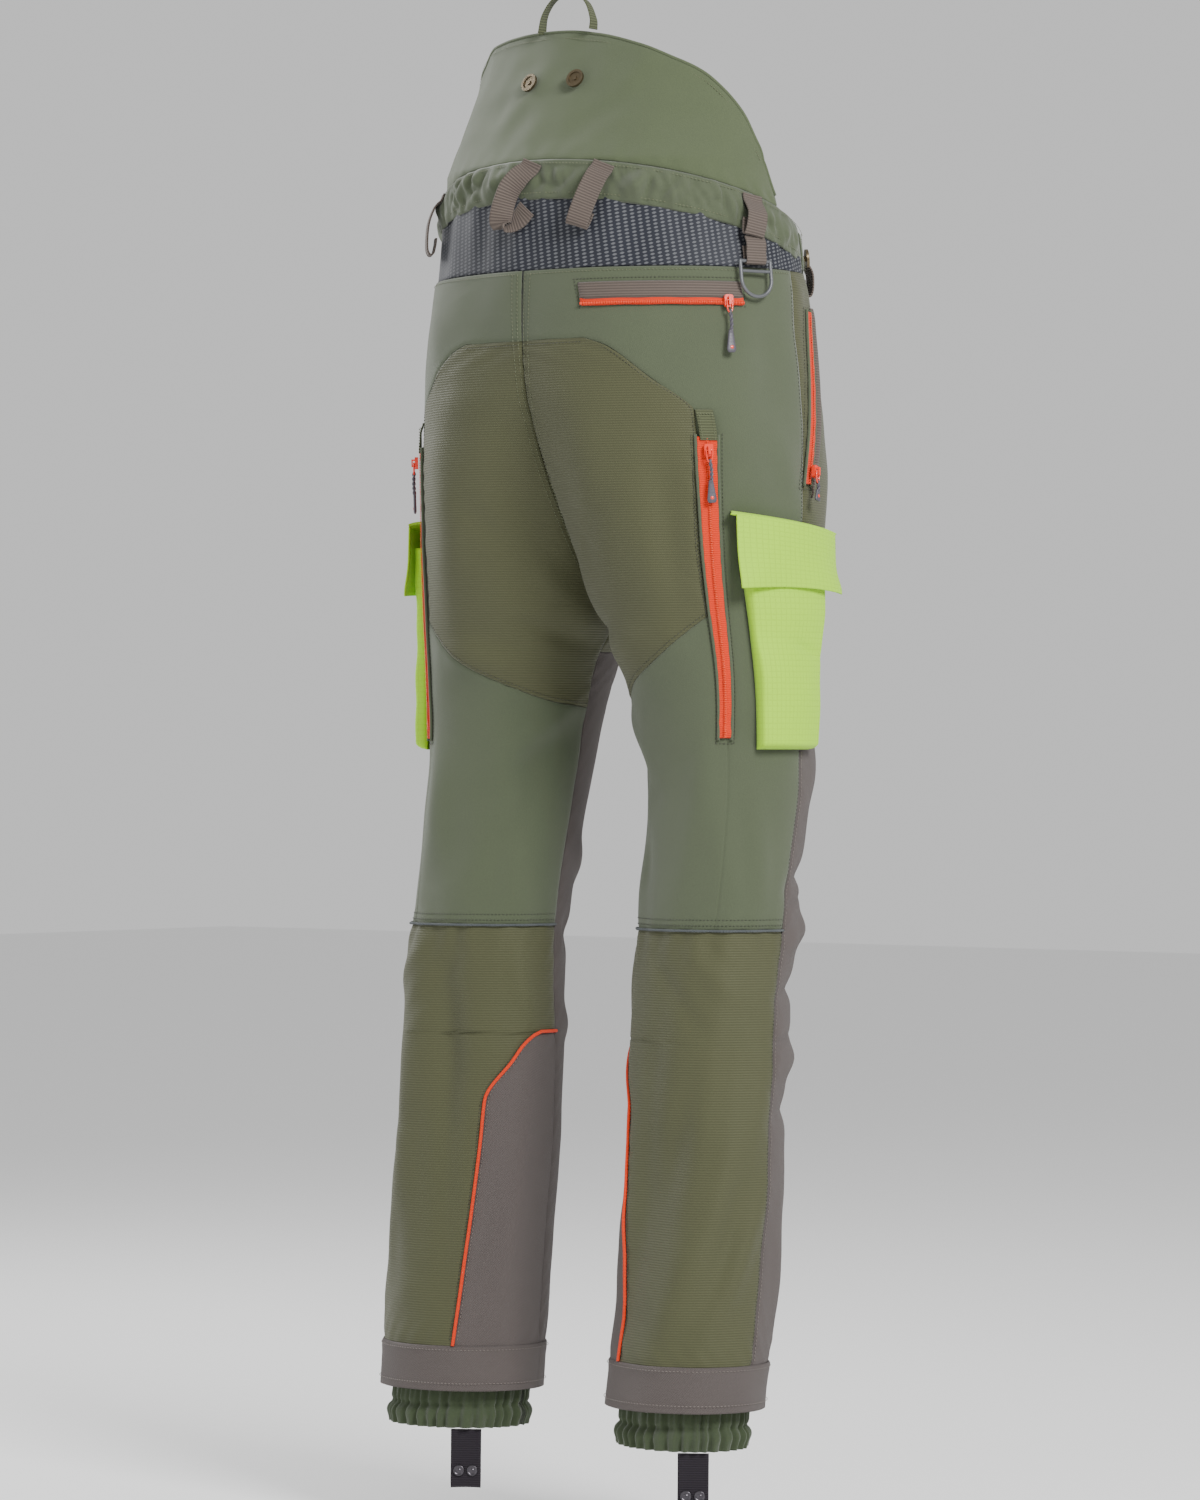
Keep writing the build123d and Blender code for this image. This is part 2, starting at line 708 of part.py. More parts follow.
save("kidney_bib", kidney_bib(0, SHELL, 0, columns=53))
save("bib_lining", kidney_bib(-3.4, LINING, 4, columns=37))
save("waistband_back", waistband_back())
save("waist_elastic", waist_elastic())
save_pair("waistband_front", waistband_front)
save("mesh_panel", mesh_panel())
save_pair("yoke", yoke)
save_pair("seat_panel", seat_panel)
save_pair("thigh_side", thigh_side)
save_pair("thigh_back", thigh_back)
save_pair("thigh_front", thigh_front)
save_pair("front_guard", lambda side: front_guard(side, HEM_TOP + SEAM_GAP, THIGH_FRONT_LOW))
save_pair("lower_leg_back", lower_leg_back)
save_pair("calf_panel", calf_panel)
save_pair("hem_band", lambda side: leg_ring(side, HEM_LOW, HEM_TOP, 0, HEM_THICK))
save_pair("ankle_gaiter", lambda side: leg_ring(side, GAITER_LOW, GAITER_TOP + 24, -14, 2.4))
save("knee_piping", *both(knee_piping).values())
save("calf_piping", *both(calf_piping).values())
save_pair("leg_lining", leg_lining)
save_pair("cut_insert", cut_insert)

save("back_pocket_welt", back_pocket_strip(BACK_ZIP_Z + 4, BACK_ZIP_Z + 18, SHELL + LAYER_GAP, 1.4))
save(
    "zip_tapes",
    back_pocket_strip(BACK_ZIP_Z - 3, BACK_ZIP_Z + 3.6, ZIP_OUT, ZIP_THICK),
    *[strip_between(side, VENT_TOP, VENT_FOOT, ZIP_WIDTH, ZIP_OUT, ZIP_THICK) for side in (1, -1)],
    *[strip_between(side, HAND_TOP, HAND_FOOT, ZIP_WIDTH, ZIP_OUT, ZIP_THICK) for side in (1, -1)],
    fly_strip(24, FLY_TOP_Z, FLY_FOOT_Z, FLY_TAPE_OUT, ZIP_THICK),
)
save(
    "pocket_bags",
    pocket_bag(-1, -290, -130, 18, 66),
    pocket_bag(1, -340, -150, 112, 150),
    pocket_bag(-1, -340, -150, 112, 150),
)
save("belt_loops", *[belt_loop(*row) for row in BELT_LOOPS])
save("hanging_loop", hanging_loop())
save("brace_buttons", *[brace_button(plane) for plane in button_planes()])
save("d_ring", d_ring())
save("d_ring_tab", d_ring_tab())
save("fly_cover", fly_strip(46, FLY_TOP_Z + 2, FLY_FOOT_Z - 12, FLY_COVER_OUT, ZIP_THICK))
save("waist_snap", waist_snap())
save_pair("cargo_pocket", cargo_pocket)
save_pair("cargo_flap", cargo_flap)
save_pair("foot_strap", foot_strap)
for name, (plane, pull_length) in zip_planes().items():
    save(f"{name}_slider", slider_body(plane))
    if pull_length:
        save(f"{name}_pull", pull(plane, pull_length))
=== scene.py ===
import math

import bmesh
import bpy
from mathutils import Matrix, Vector, noise


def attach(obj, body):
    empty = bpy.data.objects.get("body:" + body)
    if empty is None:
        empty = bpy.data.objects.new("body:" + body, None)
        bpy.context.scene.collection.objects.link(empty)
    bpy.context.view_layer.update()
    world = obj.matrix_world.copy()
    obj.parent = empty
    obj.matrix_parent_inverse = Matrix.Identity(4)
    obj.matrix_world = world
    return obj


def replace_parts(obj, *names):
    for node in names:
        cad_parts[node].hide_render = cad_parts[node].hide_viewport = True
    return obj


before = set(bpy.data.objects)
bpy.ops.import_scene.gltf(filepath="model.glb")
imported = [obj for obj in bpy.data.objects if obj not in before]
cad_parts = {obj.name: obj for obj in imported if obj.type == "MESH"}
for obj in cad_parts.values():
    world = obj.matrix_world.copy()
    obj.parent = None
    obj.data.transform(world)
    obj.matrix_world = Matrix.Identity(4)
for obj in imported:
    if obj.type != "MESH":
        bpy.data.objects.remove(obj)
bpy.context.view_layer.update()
BODY = "trousers"

# ---------------------------------------------------------------- garment surface
# The wearer's back is +Y and the left leg is at +X. Sizes in this part are millimetres; MM turns
# them into the frame's metres. Each leg is a stack of ellipses: height, centre x, centre y,
# half width, half depth, turn of the section in degrees.
MM = 0.001
SECTIONS = [
    (150, 0, 0, 172, 125, 0), (0, 0, 0, 172, 127, 0), (-40, 2, 0, 174, 130, 0),
    (-90, 10, 0, 172, 133, 0),
    (-140, 27, 0, 160, 136, 0), (-200, 45, -2, 147, 137, 0), (-240, 60, -4, 134, 133, 0),
    (-300, 80, -4, 115, 122, 0), (-350, 92, -3, 105, 111, 0), (-395, 101, -2, 99, 99, 0),
    (-437, 113, 0, 88, 86, 0), (-480, 121, 1, 82, 77, 1), (-545, 127, 5, 77, 70, 2),
    (-632, 131, 17, 74, 66, 4), (-718, 132, 29, 73, 65, 7), (-805, 131, 36, 76, 65, 11),
    (-891, 132, 42, 77, 64, 12), (-977, 132, 50, 76, 64, 12), (-1092, 130, 66, 78, 64, 12),
    (-1140, 130, 72, 78, 64, 12),
]
INNER_SEAM = -90
SIDE_SEAM = 98
CROTCH_Z = -395
MESH_LOW = -96
MESH_END = 118
BAND_HEIGHT = 33
KNEE_Z = -676
CALF_TOP = -772
HEM_TOP = -1052
HEM_LOW = -1090
THIGH_FRONT_LOW = -430
SEAT_TOP = -158
SEAT_SIDE = 48.5
SEAT_TURN = -223
UV_RADIUS = 0.105
# The bib has slumped towards the wearer's right (negative angles).
BIB_EDGE = [
    (-93, -30), (-87.5, -2), (-78, 19), (-67.5, 44), (-58.5, 63), (-49, 79), (-37.5, 92.5),
    (-27, 104),
    (-12, 116), (0, 121), (12, 122), (40, 118), (57, 103), (70, 78), (80, 45), (87, 8), (93, -30),
]
SEAT_EDGE = [(-158, 14), (-165, 21), (-195, 35), (-223, 48.5), (-300, 43.5), (-350, 40.5),
             (-401, 39)]
SEAT_FOOT = [(-90, -480), (-66, -476), (-38, -464), (-6, -444), (39, -401)]
CALF_EDGE = [(-772, -88), (-774, -67), (-800, -46), (-833, -28), (-868, -26), (-1052, -16)]


def interpolate(table, at, column=1):
    """Smooth curve through given rows, with the slope at each row taken from its neighbours."""
    rows = sorted(table, key=lambda row: row[0])
    at = min(max(at, rows[0][0]), rows[-1][0])
    i = 0
    while i < len(rows) - 2 and at > rows[i + 1][0]:
        i += 1
    x0, x1 = rows[i][0], rows[i + 1][0]
    span = x1 - x0
    t = (at - x0) / span

    def chord(j):
        return (rows[j + 1][column] - rows[j][column]) / (rows[j + 1][0] - rows[j][0])

    def slope(j):
        if j == 0 or j == len(rows) - 1:
            return chord(min(j, len(rows) - 2))
        before, after = chord(j - 1), chord(j)
        return 0 if before * after <= 0 else 2 * before * after / (before + after)

    y0, y1 = rows[i][column], rows[i + 1][column]
    rise = y0 * (2 * t**3 - 3 * t**2 + 1) + y1 * (3 * t**2 - 2 * t**3)
    return rise + span * (slope(i) * (t**3 - 2 * t**2 + t) + slope(i + 1) * (t**3 - t**2))


section_cache = {}


def section(z):
    key = round(z, 1)
    if key not in section_cache:
        section_cache[key] = [interpolate(SECTIONS, key, column) for column in range(1, 6)]
    return section_cache[key]


def leg_point(side, angle, z, out=0.0):
    """Point on one leg: angle 0 is its back, 90 its outer side, -90 its inner seam."""
    cx, cy, a, b, turn = section(z)
    ex = (a + out) * math.sin(math.radians(angle))
    ey = (b + out) * math.cos(math.radians(angle))
    c, s = math.cos(math.radians(turn)), math.sin(math.radians(turn))
    return Vector((side * (cx + ex * c - ey * s), cy + ex * s + ey * c, z))


def waist_point(side, angle, z, out=0.0):
    """Point on the band round the waist. Negative angles are on the other side."""
    cx, _, a, b, _ = section(z)
    turn = math.radians(angle)
    return Vector((side * (cx + a + out) * math.sin(turn), (b + out) * math.cos(turn), z))


def bib_point(side, angle, z, out=0.0):
    rise = max(z, 0)
    return waist_point(side, angle, z, out) - Vector((0, 0.6 * rise - 0.0013 * rise**2, 0))


def back_seam(z, clear=0.0):
    cx, _, a, _, _ = section(z)
    reach = (cx - clear) / a
    return INNER_SEAM if z <= CROTCH_Z or reach >= 1 else -math.degrees(math.asin(reach))


def front_seam(z, clear=0.0):
    return 180 - back_seam(z, clear)


def waist_top(angle):
    return 2 - 40 * (1 - math.cos(math.radians(angle)))


def waist_low(angle):
    return waist_top(angle) - BAND_HEIGHT


def seat_foot(angle):
    return interpolate(SEAT_FOOT, angle)


def seat_outline(z):
    if z > SEAT_EDGE[-1][0]:
        return interpolate(SEAT_EDGE, z)
    return interpolate([(foot_z, angle) for angle, foot_z in SEAT_FOOT], z)


def bump(x, width):
    """Soft hill of height 1 and the given half width."""
    return math.exp(-((x / width) ** 2))


# Folds lie along a line from one (angle, height) to another: half width and height follow.
# Each is for one leg, or for both when its side is 0.
FOLDS = [
    (0, -70, -405, -20, -330, 11, 3.5), (0, -80, -425, -35, -405, 9, -3.0),
    (0, -60, -392, 0, -300, 10, -2.2),
    (0, -84, -470, -40, -515, 12, 3.0), (0, -86, -500, -20, -560, 14, -2.5),
    (0, 30, -470, 10, -640, 16, 2.0),
    (0, -30, -520, -50, -660, 14, 2.2), (-1, 58, -560, 74, -660, 13, 2.4),
    (1, 70, -540, 84, -650, 13, 2.0),
    (0, 62, -150, 70, -300, 17, 2.2), (0, 84, -120, 78, -290, 15, -2.2),
    (-1, 80, -230, 92, -300, 12, 2.2),
    (0, 55, -700, 25, -1000, 18, 3.2), (0, 5, -720, -8, -1010, 17, -2.8),
    (0, 80, -760, 60, -1020, 15, -2.4),
    (0, -50, -690, -62, -760, 12, 2.5), (0, 20, -690, 60, -735, 10, 2.0),
    (0, -10, -700, 40, -765, 9, -1.6),
    (0, -58, -860, -48, -1030, 12, 2.0), (0, 100, -640, 168, -612, 11, -5.0),
    (0, 104, -690, 176, -655, 12, 6.0),
    (0, 102, -735, 172, -716, 10, -4.5), (0, 106, -800, 178, -776, 12, 5.0),
    (0, 104, -842, 170, -822, 11, -3.5),
    (0, 112, -560, 150, -500, 15, 3.2), (0, 118, -920, 132, -1030, 14, 3.2),
    (0, 160, -900, 150, -1030, 15, -2.6),
    (0, 206, -640, 258, -600, 12, 3.6), (0, 200, -706, 262, -672, 12, -3.6),
    (0, 208, -790, 260, -752, 12, 3.0),
    (0, 150, -190, 128, -330, 16, 3.0), (0, 175, -260, 210, -380, 13, -3.4),
    (0, 150, -330, 215, -398, 12, 3.4),
    (0, 205, -470, 170, -560, 14, 3.0), (0, 128, -400, 160, -470, 13, -2.4),
    (-1, 88, -800, 20, -1040, 22, 5.5), (-1, 58, -750, -2, -960, 26, -5.0),
    (-1, 96, -900, 50, -1045, 15, 4.0),
    (-1, -20, -860, -40, -1040, 20, 3.0), (1, 30, -690, 34, -860, 20, 4.2),
    (1, 2, -700, 0, -840, 22, -4.5),
    (1, 40, -880, 75, -1040, 20, 4.2), (1, 72, -760, 88, -900, 16, -3.0),
    (1, -50, -900, -30, -1040, 15, -3.0),
    (-1, 18, -520, 52, -660, 22, 3.2), (0, -60, -520, -28, -650, 20, -4.0),
    (1, 10, -500, 34, -640, 22, 3.2),
    (1, 20, -190, 2, -420, 22, 3.6), (1, -16, -230, -42, -400, 17, -4.2),
    (-1, 8, -180, -12, -360, 20, 3.4),
    (-1, 33, -250, 24, -400, 13, -3.2), (1, -40, -446, 16, -430, 15, 3.6),
    (-1, -60, -436, 8, -420, 15, 3.6),
    (0, 40, -120, 30, -175, 16, 1.8), (1, 20, -110, -6, -190, 15, -2.2),
]


FOLD_DEPTH = 1.4


def fold_height(side, angle, z):
    total = 0.0
    for leg, a0, z0, a1, z1, width, height in FOLDS:
        if leg and leg != side:
            continue
        if not min(z0, z1) - 45 < z < max(z0, z1) + 45:
            continue
        turn = (angle + 90) % 360 - 90
        px, py = (turn - a0) * 1.5, z - z0
        dx, dy = (a1 - a0) * 1.5, z1 - z0
        along = (px * dx + py * dy) / (dx * dx + dy * dy)
        near = min(max(along, 0), 1)
        gap = math.hypot(px - near * dx, py - near * dy)
        total += height * bump(gap,
                               width) * (0.35 + 0.65 * math.sin(math.pi * min(max(along, 0.02),
                                                                              0.98)))
    return total * FOLD_DEPTH


def softness(point, size, height, seed=0.0):
    """Gentle unevenness of worn cloth, the same at every run."""
    return height * noise.noise(point / size + Vector((seed, seed * 2.3, -seed)))


CALM_LINES = [(0, 51, -230, 38, -512, 13), (0, 112, -118, 100.5, -300, 13),
              (-1, 12, -120, 74, -120, 15)]


def calm(side, angle, z):
    """0 on the cloth beside a zip, where the sewn tapes hold it flat, rising to 1 away from it."""
    turn = (angle + 90) % 360 - 90
    still = 1.0
    for leg, a0, z0, a1, z1, width in CALM_LINES:
        if leg and leg != side:
            continue
        px, py = (turn - a0) * 2.0, z - z0
        dx, dy = (a1 - a0) * 2.0, z1 - z0
        near = min(max((px * dx + py * dy) / (dx * dx + dy * dy), 0), 1)
        gap = math.hypot(px - near * dx, py - near * dy)
        still = min(still, 1 - 0.95 * bump(gap, width))
    return still


def drape(side, angle, z, point):
    """How far the cloth stands off the plain surface, in millimetres."""
    rise = softness(point, 95, 2.6, side * 3.1) + softness(point, 36, 0.9, side * 5.7)
    rise += fold_height(side, angle, z)
    below_knee = KNEE_Z - z
    if 0 <= below_knee < 70:
        rise += 0.9 * math.sin(math.radians(angle * 17)) * bump(below_knee - 6, 22)
    if 0 <= -below_knee < 40:
        rise += 0.5 * math.sin(math.radians(angle * 17)) * bump(below_knee, 14)
    return rise * calm(side, angle, z)


# ---------------------------------------------------------------- mesh helpers


def new_cloth():
    """Empty bmesh with the layer that the weaves follow."""
    bm = bmesh.new()
    return bm, bm.loops.layers.uv.new("cloth")


def finish_mesh(name, bm, look, body=BODY, smooth=True):
    """Turn a bmesh in metres into a finished piece on one CAD body."""
    mesh = bpy.data.meshes.new(name)
    bm.to_mesh(mesh)
    bm.free()
    piece = bpy.data.objects.new(name, mesh)
    bpy.context.scene.collection.objects.link(piece)
    for polygon in mesh.polygons:
        polygon.use_smooth = smooth
    mesh.materials.append(look)
    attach(piece, body)
    return piece


def ticks(count, length, edge=1.6):
    """Shares from 0 to 1, closer together beside each end so that a seam can turn in there."""
    near = min(edge / length, 0.12)
    middle = [near * 2.5 + (1 - near * 5) * i / count for i in range(count + 1)]
    return [0, near, *middle, 1 - near, 1]


def lay_grid(bm, us, vs, place, uv_layer=None, uv_place=None):
    """Add a grid to the bmesh and put each of its points where place(u, v) says, in millimetres."""
    made = bmesh.ops.create_grid(bm, x_segments=len(us) - 1, y_segments=len(vs) - 1, size=0.5)
    faces = set()
    where = {}
    for vert in made["verts"]:
        i = round((vert.co.x + 0.5) * (len(us) - 1))
        j = round((vert.co.y + 0.5) * (len(vs) - 1))
        where[vert] = (us[i], vs[j])
        faces.update(vert.link_faces)
    for vert, (u, v) in where.items():
        vert.co = place(u, v) * MM
    if uv_layer is not None:
        for face in faces:
            for loop in face.loops:
                loop[uv_layer].uv = uv_place(*where[loop.vert])
    return list(faces), where


def face_out(bm, faces, middle_in):
    """Turn the faces so that they look away from the inner point under their middle face."""
    bm.normal_update()
    face = faces[len(faces) // 2]
    if face.normal.dot(face.calc_center_median() - middle_in(face.calc_center_median())) < 0:
        bmesh.ops.reverse_faces(bm, faces=faces)


def axis_under(side, whole_waist):
    def inner(point):
        z = point.z / MM
        cx, cy = section(z)[:2]
        x = 0 if whole_waist else side * cx * MM
        lean = 0.6 * max(z, 0) - 0.0013 * max(z, 0) ** 2 if whole_waist else 0
        return Vector((x, (cy - lean) * MM, point.z))
    return inner


def thicken(piece, thickness, offset=-1.0):
    solid = piece.modifiers.new("cloth thickness", "SOLIDIFY")
    solid.thickness = thickness * MM
    solid.offset = offset
    solid.use_even_offset = False
    return piece


def seam_dip(share, length, flags, depth):
    """The cloth turns in at a sewn edge; flags say which of the two ends are sewn."""
    dip = 0.0
    if flags[0]:
        dip += bump(share * length, 2.2)
    if flags[1]:
        dip += bump((1 - share) * length, 2.2)
    return -depth * dip


def pucker(side, angle, z, share, length, flags, height):
    """Small ripples where the thread draws the cloth up beside a seam."""
    near = 0.0
    if flags[0]:
        near += bump(share * length - 4, 6)
    if flags[1]:
        near += bump((1 - share) * length - 4, 6)
    return height * near * math.sin(angle * 0.42 + z * 0.31 + 2 * math.sin(z * 0.07 + side))


SMALLEST_SHEET = 0.0105


def cloth(name, point, side, low, high, start, end, us, vs, look, nodes, out=0.0,
          thickness=0.9,
          sewn=((1, 1), (1, 1)), extra=None, draped=True, dip=0.9, body=BODY):
    """One cut panel laid on the garment surface; low/high are heights, start/end are angles."""
    bm, layer = new_cloth()
    width_guess, height_guess = 150.0, 150.0

    def spot(u, v):
        middle = low(0) + (high(0) - low(0)) * v
        angle = start(middle) + (end(middle) - start(middle)) * u
        z = low(angle) + (high(angle) - low(angle)) * v
        return start(z) + (end(z) - start(z)) * u, z

    def place(u, v):
        angle, z = spot(u, v)
        base = point(side, angle, z, 0)
        rise = out + seam_dip(u, width_guess, sewn[0], dip) + seam_dip(v, height_guess, sewn[1],
                                                                       dip)
        if draped:
            rise += drape(side, angle, z, base)
            rise += pucker(side, angle, z, u, width_guess, sewn[0], 0.35)
            rise += pucker(side, angle, z, v, height_guess, sewn[1], 0.35)
        if extra:
            rise += extra(angle, z, u, v)
        return point(side, angle, z, rise)

    def uv_place(u, v):
        angle, z = spot(u, v)
        return (math.radians(angle) * UV_RADIUS, z * MM)

    faces, _ = lay_grid(bm, us, vs, place, layer, uv_place)
    face_out(bm, faces, axis_under(side, point is not leg_point))
    area = sum(face.calc_area() for face in faces)
    piece = finish_mesh(name, bm, look, body)
    thicken(piece, thickness)
    for node in nodes:
        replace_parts(piece, node)
    tall = sum((point(side, spot(0.5, b)[0], spot(0.5, b)[1]) - point(side, spot(0.5, a)[0],
                                                                      spot(0.5, a)[1])).length
               for a, b in zip(vs, vs[1:])) * MM
    wide = area / tall
    min(wide, tall) >= SMALLEST_SHEET
    return piece


def level(z):
    return lambda angle: z


def fixed(angle):
    return lambda z: angle


# ---------------------------------------------------------------- shader maths


class Value:
    """A shader number: the operators add Math nodes."""

    def __init__(self, look, socket):
        self.look = look
        self.socket = socket

    def _math(self, operation, *others):
        return self.look.add("ShaderNodeMath", {"operation": operation},
                             dict(enumerate((self, *others))))

    def __add__(self, other):
        return self._math("ADD", other)

    def __sub__(self, other):
        return self._math("SUBTRACT", other)

    def __rsub__(self, other):
        return self.look.add("ShaderNodeMath", {"operation": "SUBTRACT"}, {0: other, 1: self})

    def __mul__(self, other):
        return self._math("MULTIPLY", other)

    def __truediv__(self, other):
        return self._math("DIVIDE", other)

    __radd__ = __add__
    __rmul__ = __mul__

    def sine(self):
        return self._math("SINE")

    def part(self):
        return self._math("FRACT")

    def size(self):
        return self._math("ABSOLUTE")

    def over(self, edge):
        return self._math("GREATER_THAN", edge)

    def most(self, other):
        return self._math("MAXIMUM", other)

    def clamp(self):
        return self.look.add("ShaderNodeClamp", {}, {0: self})


class Look:
    """One procedural material."""

    def __init__(self, name):
        self.material = bpy.data.materials.new(name)
        self.material.use_nodes = True
        self.tree = self.material.node_tree
        self.shader = self.tree.nodes["Principled BSDF"]

    def add(self, kind, settings, inputs, output=0):
        node = self.tree.nodes.new(kind)
        for key, value in settings.items():
            if key == "stops":
                ramp = node.color_ramp
                ramp.elements[0].position, ramp.elements[0].color = value[0]
                ramp.elements[1].position, ramp.elements[1].color = value[-1]
                for place, colour in value[1:-1]:
                    ramp.elements.new(place).color = colour
            else:
                setattr(node, key, value)
        for key, value in inputs.items():
            if isinstance(value, Value):
                self.tree.links.new(value.socket, node.inputs[key])
            else:
                node.inputs[key].default_value = value
        return Value(self, node.outputs[output])

    def weave_place(self):
        """Distance across and up the cloth, in metres."""
        uv = self.add("ShaderNodeUVMap", {"uv_map": "cloth"}, {})
        across = self.add("ShaderNodeSeparateXYZ", {}, {0: uv})
        return across, Value(self, across.socket.node.outputs[1])

    def object_place(self):
        return self.add("ShaderNodeTexCoord", {}, {}, 3)

    def noise(self, place, scale, detail=3.0, rough=0.55):
        return self.add("ShaderNodeTexNoise", {},
                        {"Vector": place, "Scale": scale, "Detail": detail, "Roughness": rough})

    def mix(self, share, first, second):
        """Colour from first to second."""
        return self.add("ShaderNodeMix", {"data_type": "RGBA"}, {0: share, 6: first, 7: second}, 2)

    def colour(self, value):
        self.tree.links.new(value.socket, self.shader.inputs["Base Color"])

    def rough(self, value):
        self.tree.links.new(value.socket, self.shader.inputs["Roughness"])

    def relief(self, height, depth, strength=1.0):
        bump_node = self.add("ShaderNodeBump", {},
                             {"Height": height, "Distance": depth, "Strength": strength})
        self.tree.links.new(bump_node.socket, self.shader.inputs["Normal"])

    def fixed(self, **values):
        for key, value in values.items():
            self.shader.inputs[key.replace("_", " ")].default_value = value


DYE = 0.56


def rgb(red, green, blue, strength=DYE):
    """Colour from the display values it should show under the studio light."""
    def linear(value):
        value /= 255
        return value / 12.92 if value <= 0.04045 else ((value + 0.055) / 1.055) ** 2.4
    return (linear(red) * strength, linear(green) * strength, linear(blue) * strength, 1.0)


def shade(colour, factor):
    return tuple(min(part * factor, 1.0) for part in colour[:3]) + (1.0,)


def cloth_base(name, colour, patch_size, patch_depth, sheen):
    """Start of every cloth: large soft colour patches and a sheen."""
    look = Look(name)
    across, up = look.weave_place()
    place = look.object_place()
    patches = look.noise(place, 1 / patch_size, 4.0, 0.6)
    tint = look.mix(patches, shade(colour, 1 - patch_depth), shade(colour, 1 + patch_depth))
    look.fixed(Sheen_Weight=sheen, Sheen_Roughness=0.6, Specular_IOR_Level=0.25)
    return look, across, up, place, tint


def softshell(name, colour):
    """Brushed stretch cloth: heathered specks and a very fine twill."""
    look, across, up, place, tint = cloth_base(name, colour, 0.06, 0.14, 0.18)
    specks = look.noise(place, 900.0, 2.0, 0.7)
    fine = look.noise(place, 2600.0, 1.0, 0.5)
    twill = ((across + up) * 5200.0).sine() * 0.5 + 0.5
    light = (specks * 0.75 + fine * 0.25 - 0.5) * 1.5 + 0.5
    mixed = look.mix(light.clamp(), shade(colour, 0.62), shade(colour, 1.45))
    look.colour(look.mix(0.55, tint, mixed))
    look.rough(specks * 0.2 + 0.72)
    look.relief(specks * 0.7 + twill * 0.3, 0.00035, 0.6)
    return look.material


def ribbed(name, colour, pitch=0.0022):
    """Hard-wearing rib weave: raised cross ribs, broken by the warp threads."""
    look, across, up, place, tint = cloth_base(name, colour, 0.05, 0.12, 0.1)
    rib = (up * (2 * math.pi / pitch)).sine() * 0.5 + 0.5
    warp = (across * (2 * math.pi / (pitch * 0.8)) + (up * (math.pi / pitch))).sine() * 0.5 + 0.5
    grain = look.noise(place, 1500.0, 2.0, 0.6)
    weave = rib * (0.65 + 0.35 * warp)
    tone = (weave * 0.75 + grain * 0.5 - 0.12).clamp()
    mixed = look.mix(tone, shade(colour, 0.68), shade(colour, 1.3))
    look.colour(look.mix(0.75, tint, mixed))
    look.rough(0.74 - weave * 0.16)
    look.relief(weave + grain * 0.2, 0.0004, 0.6)
    return look.material


def coarse_weave(name, colour, pitch=0.0022):
    """Plain weave of thick yarn: over and under squares."""
    look, across, up, place, tint = cloth_base(name, colour, 0.04, 0.12, 0.06)
    warp = (across * (2 * math.pi / pitch)).sine()
    weft = (up * (2 * math.pi / pitch)).sine()
    check = warp * weft * 0.5 + 0.5
    grain = look.noise(place, 1300.0, 2.0, 0.6)
    tone = (check * 0.7 + grain * 0.5 - 0.1).clamp()
    mixed = look.mix(tone, shade(colour, 0.68), shade(colour, 1.35))
    look.colour(look.mix(0.72, tint, mixed))
    look.rough(0.8 - check * 0.12)
    look.relief(check + grain * 0.25, 0.0006, 0.8)
    return look.material


def spacer_mesh(name, colour, dot_colour):
    """Open knitted mesh: small pale eyes in staggered rows on dark yarn."""
    look, across, up, place, tint = cloth_base(name, colour, 0.05, 0.2, 0.05)
    pitch = 0.0062
    a = ((across + up * 0.9) * (2 * math.pi / pitch)).sine()
    b = ((across * 0.45 - up) * (2 * math.pi / pitch)).sine()
    eyes = (a * b).over(0.3)
    grain = look.noise(place, 1400.0, 2.0, 0.6)
    look.colour(look.mix(eyes * (grain * 0.6 + 0.45), tint, dot_colour))
    look.rough(0.62 + eyes * 0.2)
    look.relief(1.0 - eyes, 0.0006, 0.7)
    return look.material


def tape_weave(name, colour, pitch=0.0024, depth=0.35):
    """Webbing: ribs that run across the strap, with a fine edge grain."""
    look = Look(name)
    place = look.object_place()
    up = look.weave_place()[1]
    rib = (up * (2 * math.pi / pitch)).sine() * 0.5 + 0.5
    grain = look.noise(place, 1400.0, 2.0, 0.6)
    tone = (rib * 0.6 + grain * 0.5 - 0.05).clamp()
    look.colour(look.mix(tone, shade(colour, 1 - depth * 1.3), shade(colour, 1 + depth)))
    look.rough(0.82 - rib * 0.1)
    look.relief(rib + grain * 0.3, 0.0005, 0.8)
    look.fixed(Sheen_Weight=0.08, Specular_IOR_Level=0.25)
    return look.material


def hi_vis_cloth_painted_glow(name, colour):
    """High-visibility cloth: fine ripstop squares, and a faint painted glow (its colour fed into emission) that
    brightens it.
    """
    look, across, up, place, _ = cloth_base(name, colour, 0.05, 0.05, 0.1)
    square_x = ((across / 0.005).part() - 0.5).size().over(0.44)
    square_y = ((up / 0.005).part() - 0.5).size().over(0.44)
    lines = square_x.most(square_y)
    grain = look.noise(place, 1300.0, 2.0, 0.5)
    tone = (lines * 0.4 + grain * 0.5).clamp()
    mixed = look.mix(tone, shade(colour, 1.08), shade(colour, 0.84))
    look.colour(mixed)
    # Painted glow: the cloth's colour also drives emission, so it shines a little though it is no lamp.
    look.tree.links.new(mixed.socket, look.shader.inputs["Emission Color"])
    look.fixed(Emission_Strength=0.06)
    look.rough(0.7 - lines * 0.1)
    look.relief(lines * 0.7 + grain * 0.3, 0.0004, 0.6)
    return look.material


